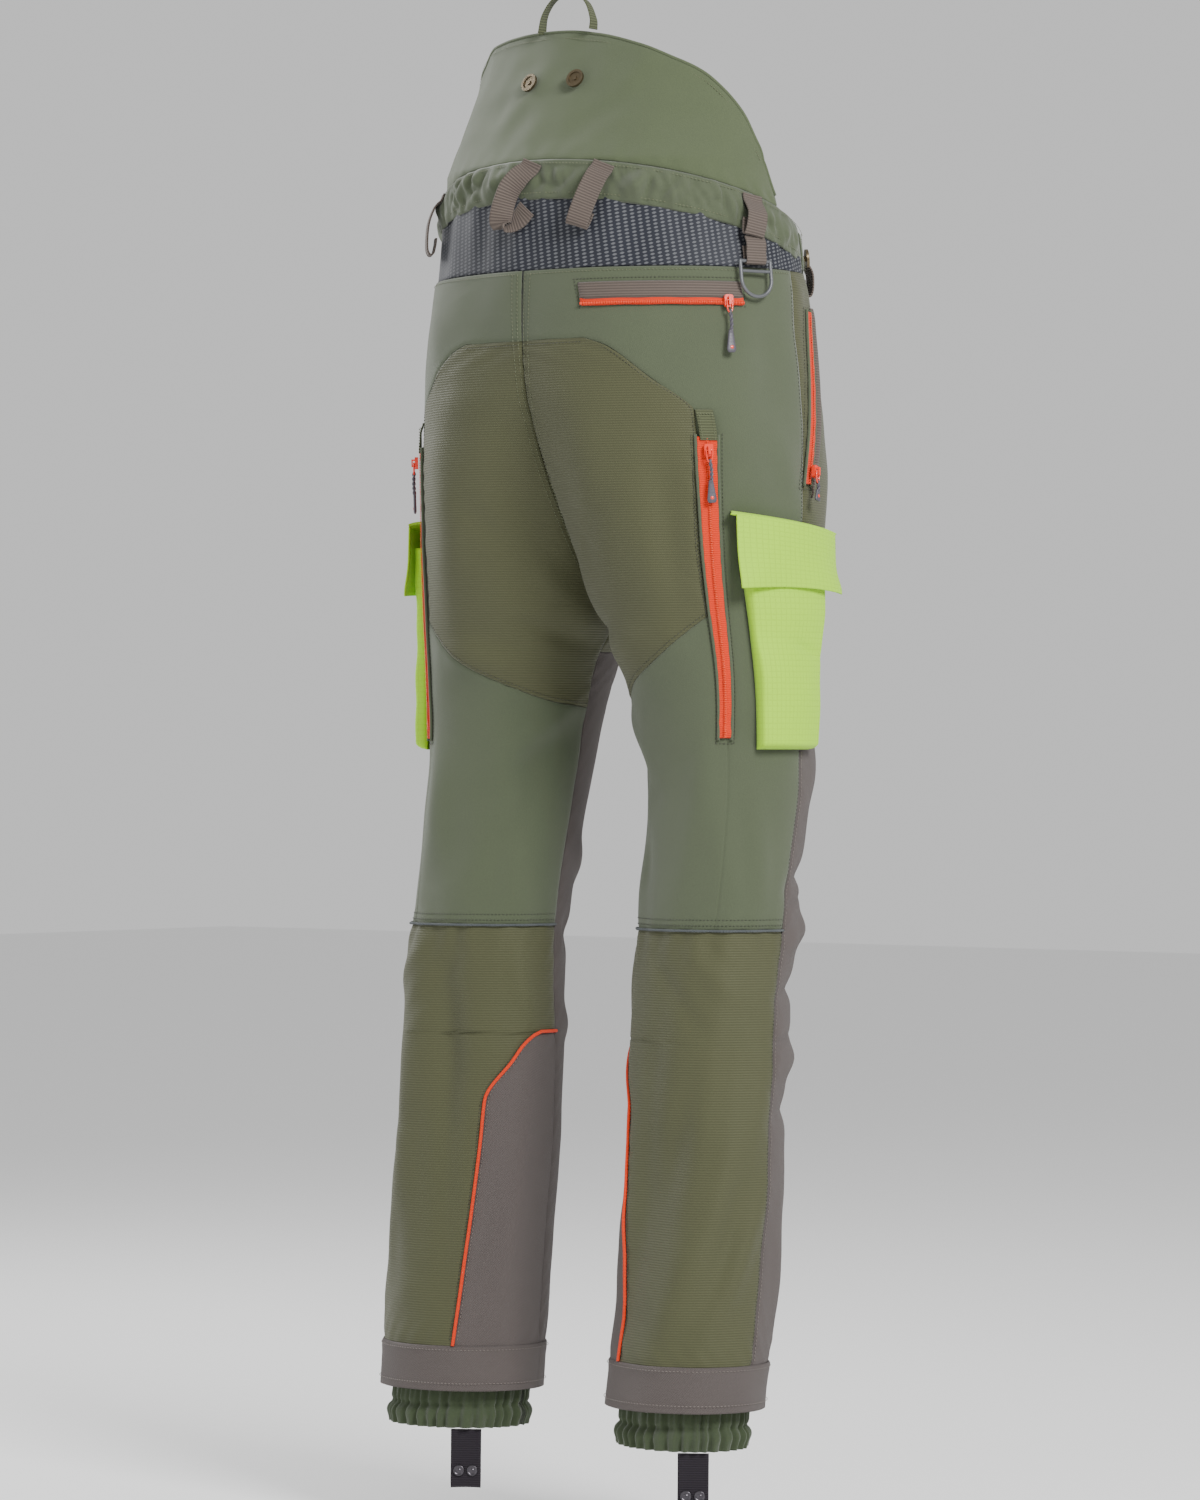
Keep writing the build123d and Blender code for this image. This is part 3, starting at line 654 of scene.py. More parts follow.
def moulded(name, colour, roughness, speck=0.1, metallic=0.0, coat=0.0):
    """Hard parts: colour mottled a little, with fine scuffs in the roughness."""
    look = Look(name)
    place = look.object_place()
    cloud = look.noise(place, 220.0, 3.0, 0.6)
    scuff = look.noise(place, 1600.0, 2.0, 0.7)
    look.colour(look.mix(cloud, shade(colour, 1 - speck * 2), shade(colour, 1 + speck * 2)))
    look.rough(scuff * 0.24 + (roughness - 0.12))
    look.relief(scuff, 0.00012, 0.5)
    look.fixed(Metallic=metallic, Coat_Weight=coat)
    return look.material


def thread(name, colour):
    """Sewing thread, with its twist."""
    look = Look(name)
    place = look.object_place()
    twist = look.noise(place, 1800.0, 1.0, 0.5)
    look.colour(look.mix(twist, shade(colour, 0.75), shade(colour, 1.25)))
    look.rough(twist * 0.2 + 0.5)
    look.fixed(Sheen_Weight=0.1)
    return look.material


OLIVE = rgb(88, 98, 72)
BIB_OLIVE = rgb(90, 102, 70)
RIB_OLIVE = rgb(88, 90, 58)
TAUPE = rgb(104, 95, 92)
ORANGE = rgb(252, 60, 14, 0.66)
NEON = rgb(190, 252, 30, 0.62)
SHELL_LOOK = softshell("olive softshell", OLIVE)
BIB_LOOK = softshell("olive bib cloth", BIB_OLIVE)
RIB_LOOK = ribbed("olive rib weave", RIB_OLIVE)
TAUPE_LOOK = coarse_weave("taupe guard cloth", TAUPE)
MESH_LOOK = spacer_mesh("charcoal mesh", rgb(40, 43, 54), rgb(128, 130, 134))
LINING_LOOK = softshell("dark lining cloth", rgb(52, 56, 50))
GAITER_LOOK = softshell("thin gaiter cloth", rgb(66, 80, 50))
WEBBING_LOOK = tape_weave("taupe webbing", rgb(112, 100, 92))
OLIVE_TAPE_LOOK = tape_weave("olive tape", rgb(96, 102, 72))
BLACK_TAPE_LOOK = tape_weave("black webbing", rgb(40, 33, 42), 0.002, 0.3)
ELASTIC_LOOK = tape_weave("black elastic", rgb(34, 34, 36), 0.0018, 0.3)
NEON_LOOK = hi_vis_cloth_painted_glow("yellow-green cloth", NEON)
ZIP_TAPE_LOOK = tape_weave("orange zip tape", ORANGE, 0.0016, 0.18)
COIL_LOOK = moulded("orange zip coil", rgb(255, 72, 18, 0.75), 0.38, 0.06)
SLIDER_LOOK = moulded("orange lacquer", rgb(252, 54, 12, 0.75), 0.3, 0.05, 0.0, 0.4)
GRIP_LOOK = moulded("grey moulded grip", rgb(92, 88, 98), 0.45, 0.1)
RING_LOOK = moulded("grey moulded ring", rgb(112, 114, 118), 0.4, 0.1, 0.3)
BUTTON_LOOK = moulded("burnished button metal", rgb(126, 112, 86), 0.34, 0.12, 0.85)
SNAP_LOOK = moulded("dark snap metal", rgb(96, 92, 98), 0.3, 0.1, 0.85)
GREY_PIPING_LOOK = tape_weave("grey reflective piping", rgb(98, 104, 106), 0.0012, 0.15)
ORANGE_PIPING_LOOK = tape_weave("orange piping", rgb(252, 66, 16, 0.7), 0.0012, 0.12)
OLIVE_THREAD = thread("olive thread", rgb(116, 122, 88))
DARK_THREAD = thread("dark thread", rgb(60, 62, 46))
GREY_THREAD = thread("taupe thread", rgb(140, 130, 122))
PAD_LOOK = coarse_weave("knitted guard fibre", rgb(214, 206, 180), 0.004)

# ---------------------------------------------------------------- stitches and small repeats


def stamp(bm, template, matrix):
    """Copy a small mesh into the bmesh at a place."""
    first = len(bm.verts)
    bm.from_mesh(template)
    bm.verts.ensure_lookup_table()
    bmesh.ops.transform(bm, matrix=matrix, verts=bm.verts[first:])


def bead(length, width, height):
    """Template of one stitch: a small pointed ellipsoid, longest along X."""
    bm = bmesh.new()
    bmesh.ops.create_icosphere(bm, subdivisions=1, radius=0.5)
    bmesh.ops.scale(bm, vec=(length * MM, width * MM, height * MM), verts=bm.verts)
    mesh = bpy.data.meshes.new("bead")
    bm.to_mesh(mesh)
    bm.free()
    return mesh


def basis(origin, along, normal):
    along = along.normalized()
    across = normal.cross(along).normalized()
    normal = along.cross(across)
    turn = Matrix((along, across, normal)).transposed().to_4x4()
    return Matrix.Translation(origin * MM) @ turn


def outward(point, side, angle, z):
    lower = point(side, angle, z, 0)
    return (point(side, angle, z, 10) - lower).normalized()


def worn(point, side, angle, z, out):
    """Point on the draped cloth, a given distance off it."""
    base = point(side, angle, z, 0)
    rise = drape(side, angle, z, base) if point is leg_point else 0
    return point(side, angle, z, rise + out)


def seam_walk(point, side, spots, pitch, out):
    """Places about one pitch apart along a line of (angle, height) spots on the cloth."""
    path = [worn(point, side, angle, z, out) for angle, z in spots]
    places = []
    carry = 0.0
    for i in range(len(path) - 1):
        step = path[i + 1] - path[i]
        run = step.length
        if run < 1e-6:
            continue
        while carry <= run:
            share = carry / run
            angle = spots[i][0] + (spots[i + 1][0] - spots[i][0]) * share
            z = spots[i][1] + (spots[i + 1][1] - spots[i][1]) * share
            places.append((path[i] + step * share, step, outward(point, side, angle, z)))
            carry += pitch
        carry -= run
    return places


def stitch_rows(name, rows, look, pitch=3.4, size=(2.5, 0.75, 0.6), crosswise=False):
    """Rows of stitches, or of zip coil turns laid crosswise.

    Each row is (surface, side, spots, height off the cloth).
    """
    template = bead(*size)
    bm = bmesh.new()
    for point, side, spots, out in rows:
        for spot, along, normal in seam_walk(point, side, spots, pitch, out):
            long_way = normal.cross(along) if crosswise else along
            stamp(bm, template, basis(spot, long_way, normal))
    bpy.data.meshes.remove(template)
    return finish_mesh(name, bm, look)


def line(angle0, z0, angle1, z1, count=24):
    return [(angle0 + (angle1 - angle0) * i / count,
             z0 + (z1 - z0) * i / count) for i in range(count + 1)]


def curve_in_z(edge, z0, z1, shift=0.0, count=60):
    """Line that follows an angle function of the height."""
    heights = [z0 + (z1 - z0) * i / count for i in range(count + 1)]
    return [(edge(z) + shift, z) for z in heights]


def curve_in_angle(edge, a0, a1, shift=0.0, count=60):
    """Line that follows a height function of the angle."""
    angles = [a0 + (a1 - a0) * i / count for i in range(count + 1)]
    return [(angle, edge(angle) + shift) for angle in angles]


def cord_tube(name, path, radius, look, body=BODY, flat=1.0, sides=10, normals=None):
    """Piping or bead: a ring swept along points on the cloth, in millimetres."""
    bm, layer = new_cloth()
    rings = []
    walked = 0.0
    for i, spot in enumerate(path):
        ahead = path[min(i + 1, len(path) - 1)] - path[max(i - 1, 0)]
        if i:
            walked += (path[i] - path[i - 1]).length * MM
        made = bmesh.ops.create_circle(bm, cap_ends=False, segments=sides, radius=radius * MM)
        ring = made["verts"]
        bmesh.ops.scale(bm, vec=(1, flat, 1), verts=ring)
        normal = normals[i] if normals else Vector((0, 0, 1))
        side_way = ahead.cross(normal).normalized()
        upward = side_way.cross(ahead.normalized())
        turn = Matrix((side_way, upward, ahead.normalized())).transposed().to_4x4()
        bmesh.ops.transform(bm, matrix=Matrix.Translation(spot * MM) @ turn, verts=ring)
        rings.append((ring, walked))
    for (ring, _), (later, _) in zip(rings, rings[1:]):
        edges = [e for v in ring for e in v.link_edges if e.other_vert(v) in ring]
        more = [e for v in later for e in v.link_edges if e.other_vert(v) in later]
        bmesh.ops.bridge_loops(bm, edges=list(set(edges + more)))
    for ring, _ in (rings[0], rings[-1]):
        bm.faces.new(ring)
    walked_at = {vert: far for ring, far in rings for vert in ring}
    for face in bm.faces:
        for loop in face.loops:
            loop[layer].uv = (0.0, walked_at[loop.vert])
    bmesh.ops.recalc_face_normals(bm, faces=bm.faces)
    return finish_mesh(name, bm, look, body)


SIDES = {"left": 1, "right": -1}

# ---------------------------------------------------------------- cloth panels


def waistband():
    """Elastic back of the waistband: the cloth is gathered into small upright ruffles."""
    def gathers(angle, z, u, v):
        middle = 0.22 + 0.78 * math.sin(math.pi * v)
        wide = abs(noise.noise(Vector((angle * 0.13 + v * 0.9, v * 1.1, 2.2))))
        narrow = abs(noise.noise(Vector((angle * 0.3 - v * 1.3, v * 1.5, 7.4))))
        fine = math.sin(math.radians(angle) * 72 + 3 * noise.noise(Vector((angle * 0.1, v, 1))))
        fade = 1 - bump(abs(angle) - MESH_END, 16)
        return fade * middle * (11 * wide + 5.5 * narrow + 0.5 * fine) - 0.8

    cloth("waistband_cloth", waist_point, 1, lambda a: waist_low(a) - 2.5, waist_top,
          fixed(-MESH_END), fixed(MESH_END),
          ticks(300, 520), ticks(14, 33), SHELL_LOOK, ["waistband_back"], out=1.0,
          extra=gathers, draped=False)
    for word, side in SIDES.items():
        cloth(f"waistband_front_cloth_{word}", waist_point, side, waist_low, waist_top,
              fixed(MESH_END),
              fixed(179.8), ticks(50, 150), ticks(10, 33), SHELL_LOOK,
              [f"waistband_front_{word}"], out=1.0, draped=False,
              extra=lambda angle, z, u,
              v: 0.9 * math.sin(math.pi * v) + 0.25 * math.sin(angle * 0.9))
    cloth("waist_elastic_band", waist_point, 1, lambda a: waist_low(a) + 3,
          lambda a: waist_top(a) - 2,
          fixed(-MESH_END + 3), fixed(MESH_END - 3), ticks(160, 520), ticks(6, 27),
          ELASTIC_LOOK,
          ["waist_elastic"], out=-1.6, draped=False, thickness=1.2,
          extra=lambda angle, z, u, v: 0.35 * math.sin(math.radians(angle) * 60))


def mesh_band():
    def creases(angle, z, u, v):
        wave = math.sin(math.radians(angle) * 31 + 2.2 * math.sin(angle * 0.07))
        return 0.9 * wave * (0.35 + 0.65 * v) + 0.7 * math.sin(math.radians(angle) * 13 + v * 2)

    cloth("mesh_cloth", waist_point, 1, level(MESH_LOW), lambda a: waist_low(a) + 3,
          fixed(-MESH_END), fixed(MESH_END),
          ticks(220, 540), ticks(16, 60), MESH_LOOK, ["mesh_panel"], extra=creases,
          draped=False)


def bib():
    """Kidney bib: smooth cloth with slack dents, and its lining."""
    def slack(angle, z, u, v):
        spot = waist_point(1, angle, z)
        rise = 3.4 * noise.noise(spot / 60) + 1.2 * noise.noise(spot / 24 + Vector((4, 0, 0)))
        rise += 2.6 * bump((angle - 12 + (z - 60) * 0.25) * 2.4, 16) * bump(z - 62, 26)
        rise -= 2.4 * bump((angle + 22 + (z - 40) * 0.3) * 2.4, 18) * bump(z - 50, 30)
        rise += 1.4 * math.sin(math.radians(angle) * 46) * bump(z - waist_top(angle), 9)
        return rise * min(v * 6, 1)

    def low(angle):
        return waist_top(abs(angle))

    def high(inset):
        return lambda angle: interpolate(BIB_EDGE, angle) - inset

    cloth("bib_cloth", bib_point, 1, low, high(0), fixed(-93), fixed(93), ticks(150, 520),
          ticks(44, 120),
          BIB_LOOK, ["kidney_bib"], extra=slack, draped=False)
    cloth("bib_inside", bib_point, 1, low, high(1.5), fixed(-92), fixed(92), ticks(90, 520),
          ticks(24, 120),
          LINING_LOOK, ["bib_lining"], out=-2.2, extra=slack, draped=False,
          thickness=0.6)
    normals = [outward(bib_point, 1, angle, 60) for angle in range(-93, 94)]
    edge = [bib_point(1, angle, interpolate(BIB_EDGE, angle),
                      slack(angle, interpolate(BIB_EDGE, angle), 0,
                            1) - 0.8) for angle in range(-93, 94)]
    cord_tube("bib_edge", edge, 1.5, BIB_LOOK, normals=normals)
    rows = [(bib_point, 1, curve_in_angle(lambda a: interpolate(BIB_EDGE, a) - 6, -84, 84, 0, 150),
             0.6)]
    return rows


def hip_cloth(word, side):
    """Smooth cloth from the mesh to the knee: the yoke and the thigh are one piece at the side."""
    bm, layer = new_cloth()
    side_angles = [SEAT_SIDE + (SIDE_SEAM - SEAT_SIDE) * share for share in ticks(26, 90)]
    back_shares = ticks(34, 130)[:-3] + [0.955, 0.975, 1.0]
    yoke_columns = [("share", share) for share in back_shares] + [("angle",
                                                                   a) for a in side_angles[1:]]
    thigh_columns = [-90 + 128 * share for share in ticks(50, 230)]
    steep = [38 + 10.5 * i / 14 for i in range(1, 15)]
    thigh_angles = [a for a in thigh_columns if a < 38] + [38] + steep + side_angles[1:]
    yoke_low_rows = [(14, SEAT_TOP), *[(a, z) for z, a in SEAT_EDGE[1:4]]]

    def yoke_low(angle):
        if angle > SEAT_SIDE:
            return SEAT_TURN
        return SEAT_TOP if angle < 14 else interpolate(yoke_low_rows, angle)

    def thigh_high(angle):
        if angle >= SEAT_SIDE:
            return SEAT_TURN
        if angle > 39:
            return interpolate([(a, z) for z, a in reversed(SEAT_EDGE[3:])], angle)
        return seat_foot(angle)

    def off(angle, z, edge_gap):
        base = leg_point(side, angle, z)
        dip = -0.9 * bump(edge_gap, 2.2)
        return leg_point(side, angle, z, drape(side, angle, z, base) + dip)

    def yoke_place(u, v):
        kind, value = yoke_columns[round(u * (len(yoke_columns) - 1))]
        z = MESH_LOW
        for _ in range(3):
            seam = back_seam(z)
            angle = seam + (SEAT_SIDE - seam) * value if kind == "share" else value
            low = yoke_low(angle)
            z = low + (MESH_LOW - low) * v
        gap = min((MESH_LOW - z), (angle - back_seam(z)) * 2.4, (SIDE_SEAM - angle) * 2.0)
        if angle < SEAT_SIDE:
            gap = min(gap, z - low)
        return off(angle, z, gap), angle, z

    def thigh_place(u, v):
        angle = thigh_angles[round(u * (len(thigh_angles) - 1))]
        high = thigh_high(angle)
        z = KNEE_Z + (high - KNEE_Z) * v
        gap = min(z - KNEE_Z, (SIDE_SEAM - angle) * 1.8, (angle - INNER_SEAM) * 1.5)
        if angle < SEAT_SIDE:
            gap = min(gap,
                      high - z if angle < 39 else max((angle - interpolate(SEAT_EDGE, z)) * 1.8,
                                                      0) + max(0, z - high))
        return off(angle, z, gap), angle, z

    for columns, rows, place in (
        (yoke_columns, ticks(30, 110), yoke_place),
        (thigh_angles, ticks(110, 300), thigh_place),
    ):
        us = [i / (len(columns) - 1) for i in range(len(columns))]
        lay_grid(
            bm, us, rows, lambda u, v, f=place: f(u, v)[0], layer,
            lambda u, v, f=place: (math.radians(f(u, v)[1]) * UV_RADIUS, f(u, v)[2] * MM),
        )
    bmesh.ops.remove_doubles(bm, verts=bm.verts, dist=0.00002)
    bm.normal_update()
    inner = axis_under(side, False)
    wrong = [f for f in bm.faces if f.normal.dot(f.calc_center_median() - inner(f.calc_center_median())) < 0]
    if len(wrong) > len(bm.faces) / 2:
        bmesh.ops.reverse_faces(bm, faces=bm.faces[:])
    area = sum(face.calc_area() for face in bm.faces)
    piece = finish_mesh(f"hip_cloth_{word}", bm, SHELL_LOOK)
    thicken(piece, 0.9)
    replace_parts(piece, f"yoke_{word}", f"thigh_side_{word}", f"thigh_back_{word}")
    round(area / 0.58, 3)


def leg_panels(word, side):
    hip_cloth(word, side)
    cloth(f"seat_cloth_{word}", leg_point, side, level(-479.5), level(SEAT_TOP), back_seam,
          seat_outline,
          ticks(44, 150), ticks(100, 320), RIB_LOOK, [f"seat_panel_{word}"],
          out=0.15)
    cloth(f"thigh_front_cloth_{word}", leg_point, side, level(THIGH_FRONT_LOW),
          lambda a: min(waist_low(a), MESH_LOW), fixed(SIDE_SEAM), front_seam, ticks(44, 190),
          ticks(90, 330), RIB_LOOK, [f"thigh_front_{word}"])
    cloth(f"front_guard_cloth_{word}", leg_point, side, level(HEM_TOP - 3), level(THIGH_FRONT_LOW),
          fixed(SIDE_SEAM), fixed(270), ticks(56, 230), ticks(170, 620), TAUPE_LOOK,
          [f"front_guard_{word}"], extra=knee_darts)
    cloth(f"lower_leg_cloth_{word}", leg_point, side, level(HEM_TOP - 3), level(KNEE_Z),
          lambda z: INNER_SEAM if z > CALF_TOP else interpolate(CALF_EDGE, z), fixed(SIDE_SEAM),
          ticks(56, 240), ticks(110, 376), RIB_LOOK, [f"lower_leg_back_{word}"])
    cloth(f"calf_cloth_{word}", leg_point, side, level(HEM_TOP - 3), level(CALF_TOP),
          fixed(INNER_SEAM),
          lambda z: interpolate(CALF_EDGE, z), ticks(26, 90), ticks(80, 280),
          TAUPE_LOOK,
          [f"calf_panel_{word}"])
    cloth(f"hem_cloth_{word}", leg_point, side, level(HEM_LOW - 2), level(HEM_TOP), fixed(-90),
          fixed(269.9), ticks(110, 450), ticks(12, 40), TAUPE_LOOK,
          [f"hem_band_{word}"],
          out=0.6, thickness=1.5, sewn=((0, 0), (0, 1)),
          extra=lambda angle, z, u,
          v: 0.5 * bump(z - HEM_TOP + 5, 5) + 1.2 * softness(leg_point(side, angle, z), 30, 1))
    gaiter(word, side)
    cloth(f"leg_lining_cloth_{word}", leg_point, side, level(HEM_LOW + 20), level(CROTCH_Z - 45),
          fixed(-90), fixed(269.9), ticks(60, 420), ticks(50, 640), LINING_LOOK,
          [f"leg_lining_{word}"], out=-8.2, thickness=0.5, sewn=((1, 1), (0, 0)), draped=True)
    guard_pad(word, side)


def knee_darts(angle, z, u, v):
    """Sharp tucks that shape the knee, at two heights on the outer side."""
    rise = 0.0
    for height, depth in ((-655, 3.6), (-776, 3.6)):
        reach = min(max((angle - SIDE_SEAM) / 48, 0), 1)
        slope = z - height - (angle - SIDE_SEAM) * 0.22
        rise -= depth * (1 - reach) * bump(slope, 3.2)
        rise += depth * 0.9 * (1 - reach) * (bump(slope - 11, 9) + bump(slope + 11, 9))
    return rise * (1 - bump(angle - SIDE_SEAM, 2.5))


def gaiter(word, side):
    """Ankle gaiter: thin cloth drawn up by elastic at its lower edge."""
    def ruche(angle, z, u, v):
        near = bump(z + 1120, 16)
        wave = math.sin(math.radians(angle) * 34 + 1.4 * math.sin(angle * 0.11))
        second = math.sin(math.radians(angle) * 55 + z * 0.06)
        band = -2.2 * bump(z + 1107, 2.5)
        return wave * (1.0 + 1.5 * near) + second * 0.8 + 2.6 * bump(z + 1115, 6) + band

    cloth(f"gaiter_cloth_{word}", leg_point, side, level(-1126), level(-1066), fixed(-90),
          fixed(269.9),
          ticks(260, 400), ticks(26, 60), GAITER_LOOK, [f"ankle_gaiter_{word}"],
          out=-14,
          draped=False, thickness=0.8, sewn=((0, 0), (0, 0)), extra=ruche)


def guard_pad(word, side):
    """Cut-protection insert: quilted fibre layers, sewn in channels."""
    def quilt(angle, z, u, v):
        return 0.9 * abs(math.sin(z * math.pi / 60)) + 0.9 * abs(math.sin(math.radians(angle) * 9)) - 1.0

    start, end = SIDE_SEAM + 4, lambda z: min(front_seam(z, 8), 262)
    bm, layer = new_cloth()

    def place(u, v):
        z = -1040 + 850 * v
        angle = start + (end(z) - start) * u
        crown = 1 - max(bump(u * 160, 6), bump((1 - u) * 160, 6), bump(v * 850, 6),
                        bump((1 - v) * 850, 6))
        base = leg_point(side, angle, z)
        worn_in = drape(side, angle, z, base) + min(knee_darts(angle, z, u, v), 0)
        return leg_point(side, angle, z, worn_in - 5 + quilt(angle, z, u, v) * crown)

    faces, _ = lay_grid(bm, ticks(48, 160), ticks(150, 850), place, layer,
                        lambda u, v: (u * 0.2, v * 0.85))
    face_out(bm, faces, axis_under(side, False))
    piece = finish_mesh(f"guard_pad_{word}", bm, PAD_LOOK)
    thicken(piece, 2.2)
    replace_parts(piece, f"cut_insert_{word}")


# ---------------------------------------------------------------- piping and stitching


def piping():
    for word, side in SIDES.items():
        spots = line(INNER_SEAM, KNEE_Z, SIDE_SEAM, KNEE_Z, 110)
        path = [worn(leg_point, side, a, z, 0.9) for a, z in spots]
        ways = [outward(leg_point, side, a, z) for a, z in spots]
        knee = cord_tube(f"knee_piping_{word}", path, 1.15, GREY_PIPING_LOOK,
                         normals=ways)
        spots = curve_in_z(lambda z: interpolate(CALF_EDGE, z), HEM_TOP, CALF_TOP - 3, 0, 130)
        spots += line(-72, CALF_TOP, INNER_SEAM, CALF_TOP, 14)
        path = [worn(leg_point, side, a, z, 0.8) for a, z in spots]
        ways = [outward(leg_point, side, a, z) for a, z in spots]
        calf = cord_tube(f"calf_piping_{word}", path, 1.55, ORANGE_PIPING_LOOK,
                         normals=ways)
        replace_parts(knee, "knee_piping")
        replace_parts(calf, "calf_piping")


def seam_stitches(bib_rows):
    olive, dark, grey = [], [], []
    olive += bib_rows
    full = [(-MESH_END, MESH_END)]
    for a0, a1 in full:
        olive.append((waist_point, 1,
                      curve_in_angle(lambda a: waist_top(abs(a)) - 3.5, a0, a1, 0, 120), 2.8))
        olive.append((waist_point, 1,
                      curve_in_angle(lambda a: waist_low(abs(a)) + 3.5, a0, a1, 0, 120), 2.6))
    for side in SIDES.values():
        for inset in (2.5, 7.5):
            olive.append((waist_point, side, curve_in_angle(waist_top, MESH_END, 178, -inset, 40),
                          2.2))
            olive.append((waist_point, side, curve_in_angle(waist_low, MESH_END, 178, inset, 40),
                          2.2))
            dark.append((leg_point, side,
                         line(SIDE_SEAM - 1, KNEE_Z + 2 + inset, INNER_SEAM + 1, KNEE_Z + 2 + inset,
                              90), 0.35))
        olive.append((leg_point, side,
                      line(back_seam(MESH_LOW) + 2, MESH_LOW - 3, SIDE_SEAM - 2, MESH_LOW - 3, 60),
                      0.35))
        for shift in (1.2, 3.2):
            olive.append((leg_point, side, curve_in_z(back_seam, -100, -390, shift, 70), 0.35))
        dark.append((leg_point, side, curve_in_z(seat_outline, -166, -400, -1.6, 60), 0.35))
        dark.append((leg_point, side, curve_in_angle(seat_foot, -88, 38, 3.2, 70), 0.35))
        dark.append((leg_point, side, line(back_seam(-161) + 2, -161.5, 13, -161.5, 16), 0.35))
        dark.append((leg_point, side, curve_in_z(lambda z: SIDE_SEAM - 1.6, -110, -1048, 0, 160),
                     0.35))
        grey.append((leg_point, side, curve_in_z(lambda z: SIDE_SEAM + 1.8, -436, -1048, 0, 110),
                     0.35))
        grey.append((leg_point, side,
                     curve_in_z(lambda z: interpolate(CALF_EDGE, z), -778, -1048, -2.6, 70), 0.35))
        dark.append((leg_point, side,
                     curve_in_z(lambda z: interpolate(CALF_EDGE, z), -778, -1048, 2.6, 70), 0.35))
        for inset in (3.5, 33):
            grey.append((leg_point, side, line(-89, HEM_TOP - inset, 269, HEM_TOP - inset, 120),
                         1.9))
    stitch_rows("olive_stitches", olive, OLIVE_THREAD)
    stitch_rows("dark_stitches", dark, DARK_THREAD)
    stitch_rows("taupe_stitches", grey, GREY_THREAD)


# ---------------------------------------------------------------- ribbons, zips and pulls


def cloth_frame(point, side, angle, z, out, turn=0):
    """Local frame on the cloth: x to the right of someone looking at it, y up the cloth, z outwards."""
    here = point(side, angle, z, out)
    across = (point(side, angle + 1, z, out) - point(side, angle - 1, z, out)).normalized()
    up = (point(side, angle, z + 2, out) - point(side, angle, z - 2, out)).normalized()
    normal = across.cross(up).normalized()
    if (point(side, angle, z, out + 5) - here).dot(normal) < 0:
        across, normal = -across, -normal
    return made_frame(here, across, normal) @ Matrix.Rotation(math.radians(turn), 4, "Z")


def made_frame(origin, across, normal):
    turn = Matrix((across, normal.cross(across), normal)).transposed().to_4x4()
    return Matrix.Translation(origin) @ turn


def smooth_path(points, count=60):
    """Soft curve through given points, evenly spaced along its length."""
    spots = [Vector(point) for point in points]
    spots = [spots[0] * 2 - spots[1], *spots, spots[-1] * 2 - spots[-2]]
    fine = []
    for i in range(1, len(spots) - 2):
        p0, p1, p2, p3 = spots[i - 1:i + 3]
        for j in range(16):
            t = j / 16
            fine.append(
                0.5 * (2 * p1 + (p2 - p0) * t + (2 * p0 - 5 * p1 + 4 * p2 - p3) * t**2
                       + (3 * p1 - p0 - 3 * p2 + p3) * t**3)
            )
    fine.append(spots[-2])
    total = sum((b - a).length for a, b in zip(fine, fine[1:]))
    even, walked, i = [fine[0]], 0.0, 0
    for k in range(1, count):
        goal = total * k / count
        while walked + (fine[i + 1] - fine[i]).length < goal:
            walked += (fine[i + 1] - fine[i]).length
            i += 1
        share = (goal - walked) / (fine[i + 1] - fine[i]).length
        even.append(fine[i].lerp(fine[i + 1], share))
    even.append(fine[-1])
    return even, total


def ribbon(name, base, points, width, thickness, look, body, nodes, twist=None, cup=0.0,
           count=60,
           across=(1, 0, 0), narrow=None):
    """Webbing or tape along a path in the frame base, turned about its length by twist(share)."""
    path, total = smooth_path(points, count)
    bm, layer = new_cloth()
    turn_only = base.to_3x3()

    def place(u, v):
        i = round(v * count)
        along = (path[min(i + 1, count)] - path[max(i - 1, 0)]).normalized()
        flat_way = Vector(across)
        flat_way = (flat_way - along * flat_way.dot(along)).normalized()
        if twist:
            flat_way = Matrix.Rotation(math.radians(twist(v)), 3, along) @ flat_way
        normal = flat_way.cross(along)
        reach = (u - 0.5) * width * (narrow(v) if narrow else 1)
        spot = path[i] + flat_way * reach + normal * cup * (1 - (2 * u - 1) ** 2)
        return base.to_translation() + turn_only @ spot

    shares = [i / count for i in range(count + 1)]
    widths = [0, 0.06, 0.2, 0.35, 0.5, 0.65, 0.8, 0.94, 1]
    faces, _ = lay_grid(bm, widths, shares, place, layer, lambda u,
                        v: (u * width * MM, v * total * MM))
    area = sum(face.calc_area() for face in faces)
    piece = finish_mesh(name, bm, look, body)
    thicken(piece, thickness, 0.0)
    for node in nodes:
        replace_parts(piece, node)
    if width >= 10:
        length = max(total * MM, 0.012)
        round(area / length, 4)
    return piece


def tube(name, base, points, radius, look, body, count=40):
    path, _ = smooth_path(points, count)
    turn_only = base.to_3x3()
    world = [base.to_translation() + turn_only @ spot for spot in path]
    normals = [turn_only @ Vector((0, 0, 1)) for _ in world]
    return cord_tube(name, world, radius, look, body, normals=normals)


def put_in_frame(bm, base):
    """Move a small part, made at the origin in metres, into a frame given in millimetres."""
    scaled = base.copy()
    scaled.translation = base.translation * MM
    bmesh.ops.transform(bm, matrix=scaled, verts=bm.verts)


def turned(name, base, rings, look, body, segments=32):
    """Round part from (radius, height) rows, turned about the frame's z axis."""
    bm = bmesh.new()
    loops = []
    for radius, height in rings:
        made = bmesh.ops.create_circle(bm, cap_ends=False, segments=segments, radius=radius * MM)
        bmesh.ops.translate(bm, vec=(0, 0, height * MM), verts=made["verts"])
        loops.append(made["verts"])
    join_rings(bm, loops)
    put_in_frame(bm, base)
    return finish_mesh(name, bm, look, body)


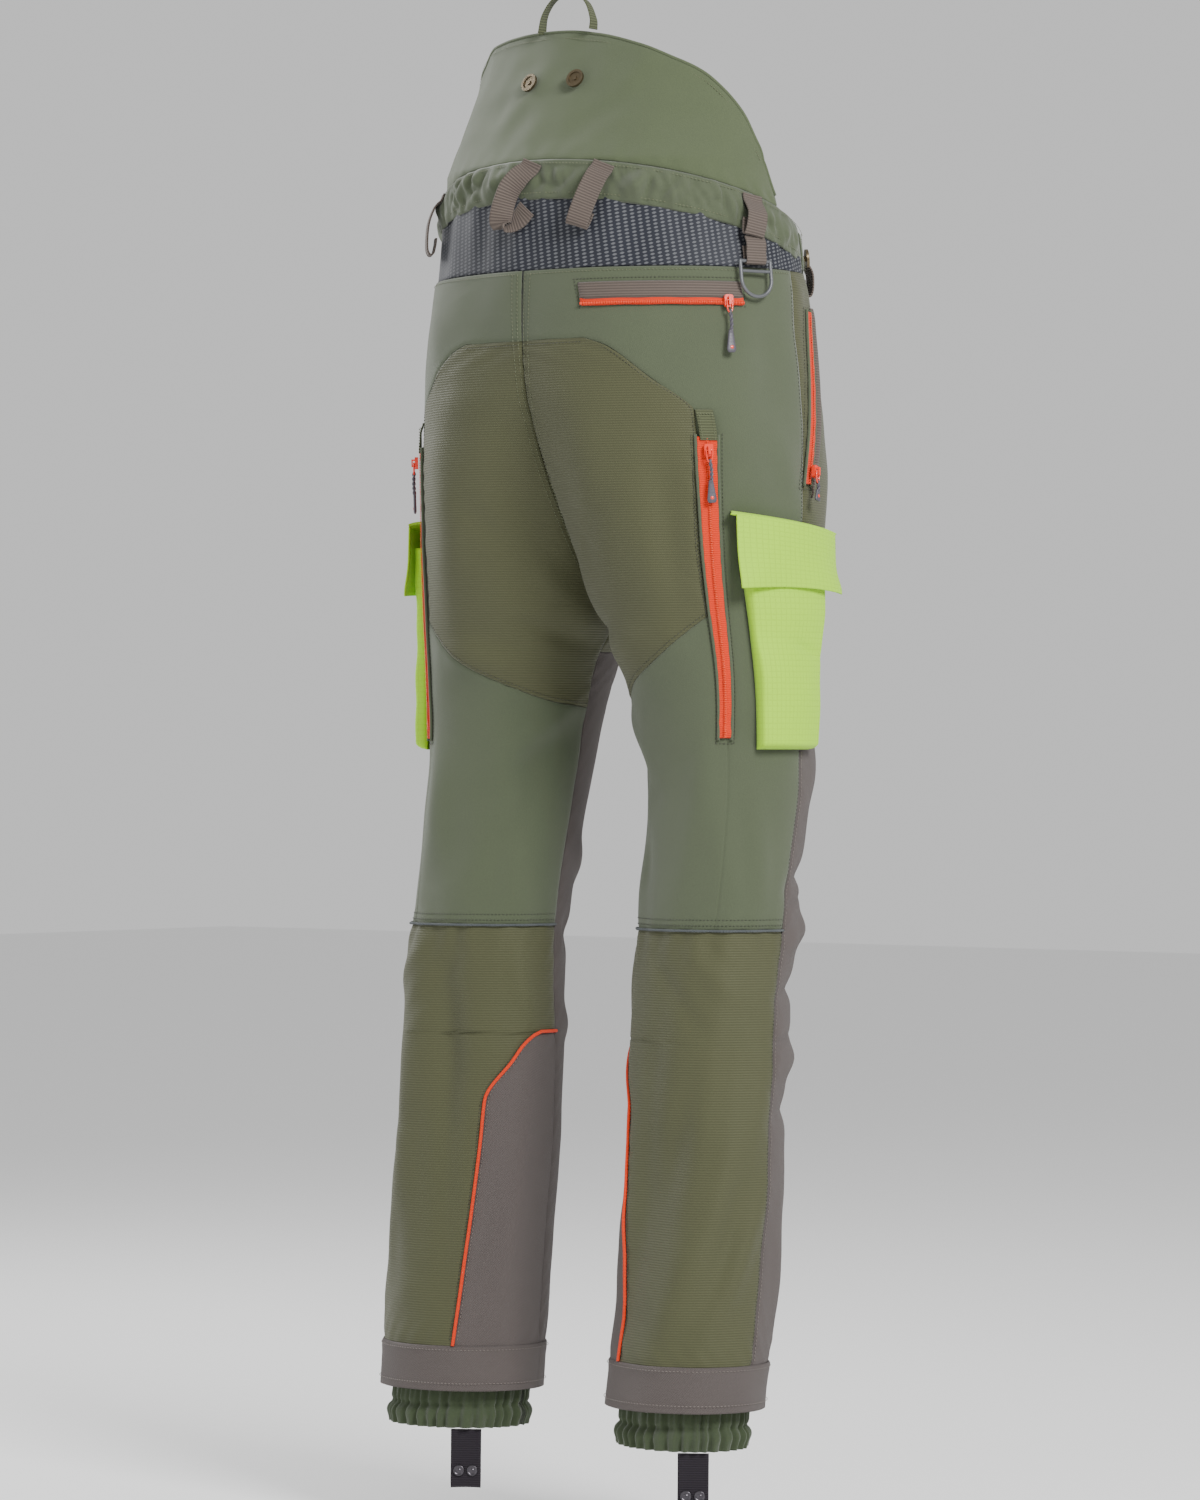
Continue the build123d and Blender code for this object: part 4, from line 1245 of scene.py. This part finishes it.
def join_rings(bm, loops):
    for ring, later in zip(loops, loops[1:]):
        near, far = set(ring), set(later)
        edges = {e for v in near for e in v.link_edges if e.other_vert(v) in near}
        edges |= {e for v in far for e in v.link_edges if e.other_vert(v) in far}
        bmesh.ops.bridge_loops(bm, edges=list(edges))
    for ring in (loops[0], loops[-1]):
        bm.faces.new(ring)
    bmesh.ops.recalc_face_normals(bm, faces=bm.faces)


def grip(name, base, length, shoulder, look, body):
    """Moulded end of a pull: flat, wider towards its foot, with shallow ribs."""
    rows = 22
    bm = bmesh.new()
    loops = []
    for i in range(rows + 1):
        share = i / rows
        y = shoulder + 1 - (shoulder + 1 + length) * share
        half = 1.9 + 2.3 * min(share / 0.82, 1) - 1.5 * max((share - 0.86) / 0.14, 0) ** 1.6
        thick = 1.35 - 0.12 * (0.5 + 0.5 * math.sin(share * 46)) * (0.12 < share < 0.62)
        thick *= 1 - 0.5 * max((share - 0.88) / 0.12, 0) ** 2
        made = bmesh.ops.create_circle(bm, cap_ends=False, segments=20, radius=1.0)
        for vert in made["verts"]:
            x, z = vert.co.x, vert.co.y
            soft = (abs(x) ** 3 + abs(z) ** 3) ** (-1 / 3)
            vert.co = Vector((x * soft * half, y, z * soft * thick)) * MM
        loops.append(made["verts"])
    join_rings(bm, loops)
    put_in_frame(bm, base)
    return finish_mesh(name, bm, look, body)


SLIDER_HEIGHT = 3
PIN_HEIGHT = 1.0
PIN_R = 0.7


def zip_pull(zip_name, base, length):
    """Wire loop on the slider's pin, two twisted cord strands and a moulded grip."""
    body = f"{zip_name}_pull"
    at_pin = base @ Matrix.Translation((0, 0, SLIDER_HEIGHT + PIN_HEIGHT))
    loop = [(0, 0, 0), (-2.2, 0, 0), (-2.5, -1.4, 0), (-2.1, -8, 0.1), (0, -10.4, 0.1),
            (2.1, -8, 0.1),
            (2.5, -1.4, 0), (2.2, 0, 0), (0, 0, 0)]
    wire = tube(f"{body}_loop", at_pin, loop, PIN_R, SLIDER_LOOK, body, 70)
    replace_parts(wire, body)
    shoulder = -8.2 - (length - 8.2) * 0.5
    run = -8.2 - shoulder + 3
    for strand in range(2):
        spots = []
        for i in range(13):
            share = i / 12
            turn = share * math.pi * run / 4.2 + strand * math.pi
            bow = 0.9 * math.sin(share * math.pi)
            spots.append((0.75 * math.cos(turn) + bow, -8.2 - run * share,
                          0.75 * math.sin(turn) + 0.5 * bow))
        cord = tube(f"{body}_cord_{strand + 1}", at_pin, spots, 1.0, GRIP_LOOK, body,
                    48)
        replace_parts(cord, body)
    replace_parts(grip(f"{body}_grip", at_pin, length, shoulder, GRIP_LOOK, body), body)
    inlay = at_pin @ Matrix.Translation((0, -length + 4.6, 0.9))
    disc = turned(f"{body}_inlay", inlay, [(1.5, 0), (1.5, 0.55), (1.2, 0.75)],
                  SLIDER_LOOK, body, 20)
    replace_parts(disc, body)


VENT_TOP = (51, -246)
VENT_FOOT = (38, -508)
HAND_TOP = (112, -130)
HAND_FOOT = (100.5, -284)
BACK_ZIP_Z = -127
BACK_ZIP_START = 15.5
BACK_ZIP_END = 71
ZIP_HALF = math.degrees(7.5 / 115)
HAND_ZIP_HALF = ZIP_HALF * 0.62
SLIDER_OUT = 3.6


def on_line(top, foot):
    return lambda z: foot[0] + (top[0] - foot[0]) * (z - foot[1]) / (top[1] - foot[1])


def slide_frame(side, top, foot, at, out):
    head, tail = leg_point(side, *top, out), leg_point(side, *foot, out)
    up = (head - tail).normalized()
    near = cloth_frame(leg_point, side, foot[0] + (top[0] - foot[0]) * at,
                       foot[1] + (top[1] - foot[1]) * at, out)
    across = up.cross(near.to_3x3().col[2]).normalized()
    return made_frame(tail + (head - tail) * at, across, across.cross(up))


def side_zip(kind, word, side, top, foot, half_width=ZIP_HALF):
    """Zip let into the cloth: woven tapes, a coil, and a turned-in lip along both edges."""
    middle = on_line(top, foot)
    for half, start, end in (("near", -half_width, -0.12), ("far", 0.12, half_width)):
        cloth(
            f"{kind}_tape_{half}_{word}", leg_point, side, level(foot[1]), level(top[1]),
            lambda z, s=start: middle(z) + s, lambda z, e=end: middle(z) + e, ticks(6, 7),
            ticks(90, 262),
            ZIP_TAPE_LOOK, ["zip_tapes"], out=2.5, dip=0, thickness=0.7,
            extra=lambda angle, z, u, v: 0.5 * bump(angle - middle(z), 1.0),
        )
    for gap in (-1, 1):
        spots = curve_in_z(lambda z: middle(z) + gap * (half_width + 0.5), foot[1] - 2, top[1] + 2,
                           0, 90)
        path = [worn(leg_point, side, a, z, 1.5) for a, z in spots]
        ways = [outward(leg_point, side, a, z) for a, z in spots]
        cord_tube(f"{kind}_lip_{word}_{'near' if gap < 0 else 'far'}", path, 1.5,
                  SHELL_LOOK,
                  normals=ways)
    return [(leg_point, side, curve_in_z(middle, foot[1] + 1, top[1] - 1, 0, 90), 3.6)]


def zips():
    coils = []
    for word, side in SIDES.items():
        coils += side_zip("vent_zip", word, side, VENT_TOP, VENT_FOOT)
        coils += side_zip("hand_zip", word, side, HAND_TOP, HAND_FOOT, HAND_ZIP_HALF)
        vent_frame = slide_frame(side, VENT_TOP, VENT_FOOT, 0.955, SLIDER_OUT + 1.8)
        zip_pull(f"vent_zip_{word}", vent_frame, 46)
        zip_pull(f"hand_zip_{word}", slide_frame(side, HAND_TOP, HAND_FOOT, 0.07, SLIDER_OUT + 3.6),
                 27)
        cloth(f"vent_tab_{word}", leg_point, side, level(-249), level(-222), fixed(51.5 - 3.2),
              fixed(51.5 + 3.2),
              ticks(6, 12), ticks(12, 24), OLIVE_TAPE_LOOK, [], out=4.0, dip=0,
              thickness=1.1,
              extra=lambda angle, z, u, v: -2.6 * bump(1 - v, 0.2))
        hand_middle = on_line(HAND_TOP, HAND_FOOT)
        cloth(f"hand_welt_{word}", leg_point, side, level(HAND_FOOT[1] - 12),
              level(HAND_TOP[1] + 4),
              lambda z: hand_middle(z) + HAND_ZIP_HALF + 0.9,
              lambda z: hand_middle(z) + HAND_ZIP_HALF + 1.1 + 4.4 * min(max((z - HAND_FOOT[1] + 12) / 20, 0.02), 1),
              ticks(8, 9), ticks(60, 160), WEBBING_LOOK, [], out=3.2, dip=0.8,
              thickness=1.2,
              extra=lambda angle, z, u, v: 0.8 * math.sin(math.pi * u))
    back_frame = cloth_frame(leg_point, -1, 64.5, BACK_ZIP_Z, SLIDER_OUT + 0.6)
    zip_pull("back_zip", back_frame, 46)
    cloth("back_zip_tape", leg_point, -1, level(BACK_ZIP_Z - 3), level(BACK_ZIP_Z + 3.6),
          fixed(BACK_ZIP_START),
          fixed(BACK_ZIP_END), ticks(60, 133), ticks(4, 7), ZIP_TAPE_LOOK,
          ["zip_tapes"], out=2.4,
          dip=0, thickness=0.8)
    cloth("back_pocket_welt_cloth", leg_point, -1, level(BACK_ZIP_Z + 2.4), level(BACK_ZIP_Z + 18),
          fixed(BACK_ZIP_START), fixed(BACK_ZIP_END), ticks(60, 133), ticks(10, 14),
          WEBBING_LOOK,
          ["back_pocket_welt"], out=2.6, dip=1.4, thickness=1.4,
          extra=lambda angle, z, u, v: 1.2 * bump(v - 0.12, 0.2))
    coils.append((leg_point, -1,
                  line(BACK_ZIP_START, BACK_ZIP_Z - 1, BACK_ZIP_END, BACK_ZIP_Z - 1, 60), 3.2))
    fly()
    stitch_rows("zip_coils", coils, COIL_LOOK, 1.55, (3.6, 1.25, 1.3), crosswise=True)
    dark, olive = [], []
    for side in SIDES.values():
        for top, foot in ((VENT_TOP, VENT_FOOT), (HAND_TOP, HAND_FOOT)):
            middle = on_line(top, foot)
            for gap in (-1, 1):
                dark.append((leg_point, side,
                             curve_in_z(lambda z: middle(z) + gap * (ZIP_HALF + 2.2),
                                                         foot[1] - 4, top[1] + 4, 0, 60), 0.35))
            dark.append((leg_point, side, line(middle(foot[1]) - ZIP_HALF - 2, foot[1] - 5,
                                               middle(foot[1]) + ZIP_HALF + 2, foot[1] - 5, 6),
                                               0.35))
        for shift in (-2.3, 2.3):
            olive.append((leg_point, side, line(51.5 + shift, -248, 51.5 + shift, -226, 8), 4.4))
        olive.append((leg_point, side, line(48.8, -226, 54.2, -226, 4), 3.6))
    dark.append((leg_point, -1,
                 line(BACK_ZIP_START - 1, BACK_ZIP_Z + 21, BACK_ZIP_END + 1, BACK_ZIP_Z + 21, 50),
                 0.5))
    for angle in (BACK_ZIP_START - 1, BACK_ZIP_END + 1):
        dark.append((leg_point, -1, line(angle, BACK_ZIP_Z - 4, angle, BACK_ZIP_Z + 20, 8), 0.5))
    stitch_rows("zip_edge_stitches", dark, DARK_THREAD)
    stitch_rows("tab_stitches", olive, OLIVE_THREAD, 2.6, (1.9, 0.7, 0.6))


FLY_TOP_Z = -115
FLY_FOOT_Z = -232


def fly_frame(top, foot, out):
    upper = waist_point(1, 180, top, out)
    lower = Vector((0, leg_point(1, front_seam(foot), foot).y - out, foot))
    up = (upper - lower).normalized()
    return made_frame(lower, Vector((1, 0, 0)), Vector((1, 0, 0)).cross(up)), (upper - lower).length


def flat_cloth(name, base, width, length, look, nodes, shape=None, thickness=0.9, body=BODY):
    """Panel laid on a flat frame: x across, y up from the foot, and shape(u, v) off it."""
    bm, layer = new_cloth()
    turn_only = base.to_3x3()

    def place(u, v):
        rise = shape(u, v) if shape else 0
        return base.to_translation() + turn_only @ Vector(((u - 0.5) * width, v * length, rise))

    lay_grid(bm, ticks(20, width), ticks(50, length), place, layer,
             lambda u, v: (u * width * MM, v * length * MM))
    piece = finish_mesh(name, bm, look, body)
    thicken(piece, thickness, 0.0)
    for node in nodes:
        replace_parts(piece, node)
    return piece


def fly():
    """Fly zip tape under a cloth cover whose side edges and foot turn in."""
    base, length = fly_frame(FLY_TOP_Z, FLY_FOOT_Z, 9.5)
    flat_cloth("fly_tape", base, 24, length, ZIP_TAPE_LOOK, ["zip_tapes"],
               thickness=0.9)
    base, length = fly_frame(FLY_TOP_Z + 2, FLY_FOOT_Z - 12, 21.1)

    def lie(u, v):
        edge = bump(u * 46, 4) + bump((1 - u) * 46, 4)
        return -1.6 * edge + 0.8 * math.sin(v * 9 + u * 3) - 5 * bump(v * length, 12)

    flat_cloth("fly_cover_cloth", base, 46, length, SHELL_LOOK, ["fly_cover"], lie,
               1.2)


# ---------------------------------------------------------------- loops, pockets and hardware

BELT_LOOPS = [(3, -24, 60), (27, -22, 60), (78, -10, 38), (-52, 0, 56), (-137, 0, 42), (137, 0, 42)]


def belt_loops():
    for number, (angle, slant, span) in enumerate(BELT_LOOPS, 1):
        side = 1 if angle < 0 else -1
        turn = abs(angle)
        base = cloth_frame(waist_point, side, turn, waist_top(turn) - 3, 4.6, slant)
        points = [(0, 1, -1), (0, -5, 0.6), (0, -12, 6), (0, -span / 2, 10), (0, -span + 8, 9.4),
                  (0, -span + 1, 6.6),
                  (0, -span + 2, 3.4), (0, -span + 9, 2.2), (0, -span + 16, 2)]
        twist = None
        if number == 1:
            points = [(0, 1, -1), (0, -5, 0.6), (-2, -15, 8), (-5, -span * 0.5, 11),
                      (-4, -span + 9, 11),
                      (-1, -span - 1, 8.5), (4, -span + 3, 5), (11, -span + 12, 3),
                      (14, -span + 22, 2)]
            twist = lambda v: -52 * bump(v - 0.45, 0.26)
        elif number == 2:
            twist = lambda v: -12 * bump(v - 0.5, 0.3)
        ribbon(f"belt_loop_{number}", base, points, 20, 1.5, WEBBING_LOOK, BODY,
               ["belt_loops"], twist,
               cup=0.35)


RING_WIRE = 1.6


def ring_tab():
    base = cloth_frame(waist_point, -1, 76, -91, 6.5)
    reach = RING_WIRE + 0.95
    points = [(0, 14, -3.0), (0, 6, -reach), (0, 0, -reach), (0, -reach, 0), (0, 0, reach),
              (0, 7, reach + 0.3),
              (0, 15, reach + 1.4), (0, 22, 1.5)]
    ribbon("ring_tab", base, points, 20, 1.4, WEBBING_LOOK, BODY, ["d_ring_tab"])


def hanging_loop():
    foot = bib_point(1, 0, interpolate(BIB_EDGE, 0)) + Vector((0, 0, 1.9))
    base = made_frame(foot, Vector((0, -1, 0)), Vector((0, 0, 1)))
    points = [(0, -30, -2), (0, -30, 8), (0, -22, 23.5), (0, -4, 31.6), (0, 14, 28), (0, 26, 15),
              (0, 30, -2)]
    ribbon("hanging_loop_tape", base, points, 10.5, 1.3, OLIVE_TAPE_LOOK,
           "hanging_loop",
           ["hanging_loop"], twist=lambda v: 14 * math.sin(v * math.pi * 2), count=70)


def foot_straps():
    for word, side in SIDES.items():
        base = cloth_frame(leg_point, side, -30 if side > 0 else 55, -1127.4, -20)
        points = [(0, 0, 1.7), (0, -24, 2.2), (0, -45, 1.9), (0, -51.5, 0), (0, -45, -1.9),
                  (0, -24, -2.4), (0, 0, -1.7)]
        ribbon(f"foot_strap_web_{word}", base, points, 27, 1.5, BLACK_TAPE_LOOK,
               f"foot_strap_{word}", [f"foot_strap_{word}"], cup=0.5,
               twist=lambda v: 5 * math.sin(v * 6.3), count=80)
        for number, x in enumerate((-6, 6), 1):
            spot = base @ Matrix.Translation((x, -37, 2.6))
            snap = turned(f"foot_strap_snap_{word}_{number}", spot,
                          [(5, 0), (5, 1.0), (4.5, 1.5), (3.9, 1.6), (3.4, 1.0), (1.9, 0.8),
                           (1.5, 1.25), (0.5, 1.4)],
                          SNAP_LOOK, f"foot_strap_{word}")
            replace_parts(snap, f"foot_strap_{word}")


POUCH_START = 58.5
POUCH_END = 108
POUCH_TOP = -334
POUCH_LOW = -518
FLAP_TOP = -310
FLAP_LOW = -376


def cargo_pockets():
    for word, side in SIDES.items():
        def pouch(angle, z, u, v):
            sides = min(min(u, 1 - u) * 96 / 5, 1)
            foot = min(v * 184 / 5, 1)
            rise = 12.6 * math.sqrt(max(sides * foot, 0))
            spot = Vector((angle * 1.2, z, side * 40))
            slack = 2.2 * noise.noise(spot / 34) + 1.5 * math.sin((z + angle * 0.9) / 17) * bump(z + 430, 42)
            slack -= 2.6 * bump(z + 426 + (angle - 84) * 0.5, 5) * bump(angle - 92, 13)
            return rise + (slack - 1.2) * min(sides * foot, 1) ** 2
        cloth(f"cargo_pouch_{word}", leg_point, side, level(POUCH_LOW), level(POUCH_TOP),
              fixed(POUCH_START),
              fixed(POUCH_END),
              [0, 0.008, 0.018, 0.03, 0.045, *[0.06 + 0.88 * i / 50 for i in range(51)], 0.955,
               0.97,
                                 0.982, 0.992, 1],
              [0, 0.006, 0.014, 0.024, *[0.034 + 0.966 * i / 100 for i in range(101)]],
              NEON_LOOK,
              [f"cargo_pocket_{word}"], out=1.8, dip=0, draped=False, thickness=0.9, extra=pouch)
        flap(word, side)


def flap(word, side):
    """Pocket flap: sewn on along its top, a short roof, then a long front with slack corners."""
    bm, layer = new_cloth()
    start, end = POUCH_START - 1.5, POUCH_END + 5
    roof = 0.16

    def place(u, v):
        angle = start + (end - start) * u
        top = FLAP_TOP - 0.6 - 14 * u
        if v < roof:
            share = v / roof
            out = 1.6 + 14.6 * math.sin(share * math.pi / 2)
            z = top - 3.5 * (1 - math.cos(share * math.pi / 2))
        else:
            share = (v - roof) / (1 - roof)
            low = FLAP_LOW - 2 + 3 * math.sin(u * math.pi) - 3 * u
            z = top - 3.5 + (low - top + 3.5) * share
            corner = 4.5 * bump(1 - share, 0.3) * (bump(u, 0.2) + 1.5 * bump(1 - u, 0.22))
            out = 16.2 + corner + 1.2 * math.sin(u * 9 + share * 2.4 + side) * share
        lean = (angle - 85) * 0.03 * share * 3
        return leg_point(side, angle + lean, z, out)

    shares = [roof * i / 14 for i in range(14)] + [roof + (1 - roof) * i / 44 for i in range(45)]
    faces, _ = lay_grid(bm, ticks(50, 110), shares, place, layer, lambda u,
                        v: (u * 0.11, v * 0.085))
    face_out(bm, faces, axis_under(side, False))
    area = sum(face.calc_area() for face in faces)
    piece = finish_mesh(f"cargo_flap_cloth_{word}", bm, NEON_LOOK, f"cargo_flap_{word}")
    thicken(piece, 1.3, 0.0)
    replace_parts(piece, f"cargo_flap_{word}")
    round(area / 0.085, 3)


def pocket_bags():
    for name, side, low, high, start, end in (
        ("back_pocket_bag", -1, -290, -130, 18, 66),
        ("hand_pocket_bag_left", 1, -340, -150, 112, 150),
        ("hand_pocket_bag_right", -1, -340, -150, 112, 150),
    ):
        cloth(name, leg_point, side, level(low), level(high), fixed(start), fixed(end),
              ticks(24, 110), ticks(36, 180),
              LINING_LOOK, ["pocket_bags"], out=-2.0, dip=0, thickness=0.6)


NODE_LOOKS = {
    "brace_buttons": BUTTON_LOOK, "waist_snap": SNAP_LOOK, "d_ring": RING_LOOK,
    "fly_zip_slider": SLIDER_LOOK,
    "back_zip_slider": SLIDER_LOOK, "vent_zip_left_slider": SLIDER_LOOK,
    "vent_zip_right_slider": SLIDER_LOOK,
    "hand_zip_left_slider": SLIDER_LOOK, "hand_zip_right_slider": SLIDER_LOOK,
}


def finish_cad_nodes():
    """The CAD's own hardware stays in view, with its finished materials."""
    for name, look in NODE_LOOKS.items():
        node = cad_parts[name]
        node.data.materials.clear()
        node.data.materials.append(look)


# ---------------------------------------------------------------- studio


FLOOR_Z = -1.2135
CAMERA_AZIMUTH = math.radians(220)
CAMERA_DISTANCE = 5
CAMERA_AIM = (0.0131, 0.011, -0.5184)


def studio():
    """Pale floor, even light from all round, and three soft lamps."""
    floor_look = moulded("pale studio floor", rgb(250, 250, 250, 0.9), 0.8, 0.005)
    bm = bmesh.new()
    bmesh.ops.create_grid(bm, x_segments=1, y_segments=1, size=12)
    bmesh.ops.translate(bm, vec=(0, 0, FLOOR_Z), verts=bm.verts)
    mesh = bpy.data.meshes.new("floor")
    bm.to_mesh(mesh)
    bm.free()
    mesh.materials.append(floor_look)
    floor = bpy.data.objects.new("floor", mesh)
    bpy.context.scene.collection.objects.link(floor)
    world = bpy.data.worlds.new("studio")
    world.use_nodes = True
    world.node_tree.nodes["Background"].inputs["Color"].default_value = (1, 1, 1, 1)
    world.node_tree.nodes["Background"].inputs["Strength"].default_value = 0.72
    bpy.context.scene.world = world
    away = Vector((math.sin(CAMERA_AZIMUTH), -math.cos(CAMERA_AZIMUTH), 0))
    right = Vector((away.y, -away.x, 0))
    aim = Vector(CAMERA_AIM)
    for name, spot, size, power in (
        ("key", aim + away * 2.6 - right * 1.6 + Vector((0, 0, 1.9)), 1.1, 165),
        ("fill", aim + away * 2.4 + right * 2.2 + Vector((0, 0, 0.4)), 1.8, 20),
        ("rim", aim - away * 1.6 + right * 1.8 + Vector((0, 0, 1.6)), 1.4, 70),
    ):
        lamp = bpy.data.lights.new(name, "AREA")
        lamp.size = size
        lamp.energy = power
        light = bpy.data.objects.new(name, lamp)
        light.location = spot
        light.rotation_mode = "QUATERNION"
        light.rotation_quaternion = (aim - spot).to_track_quat("-Z", "Y")
        bpy.context.scene.collection.objects.link(light)
    lens = bpy.data.cameras.new("camera")
    lens.lens = 133.3
    lens.sensor_width = 36
    camera = bpy.data.objects.new("camera", lens)
    camera.location = aim + away * CAMERA_DISTANCE
    camera.rotation_mode = "QUATERNION"
    camera.rotation_quaternion = (-away).to_track_quat("-Z", "Y")
    bpy.context.scene.collection.objects.link(camera)
    bpy.context.scene.camera = camera


# ---------------------------------------------------------------- build

waistband()
mesh_band()
bib_rows = bib()
for word, side in SIDES.items():
    leg_panels(word, side)
piping()
seam_stitches(bib_rows)
zips()
belt_loops()
ring_tab()
hanging_loop()
foot_straps()
cargo_pockets()
pocket_bags()
finish_cad_nodes()
studio()
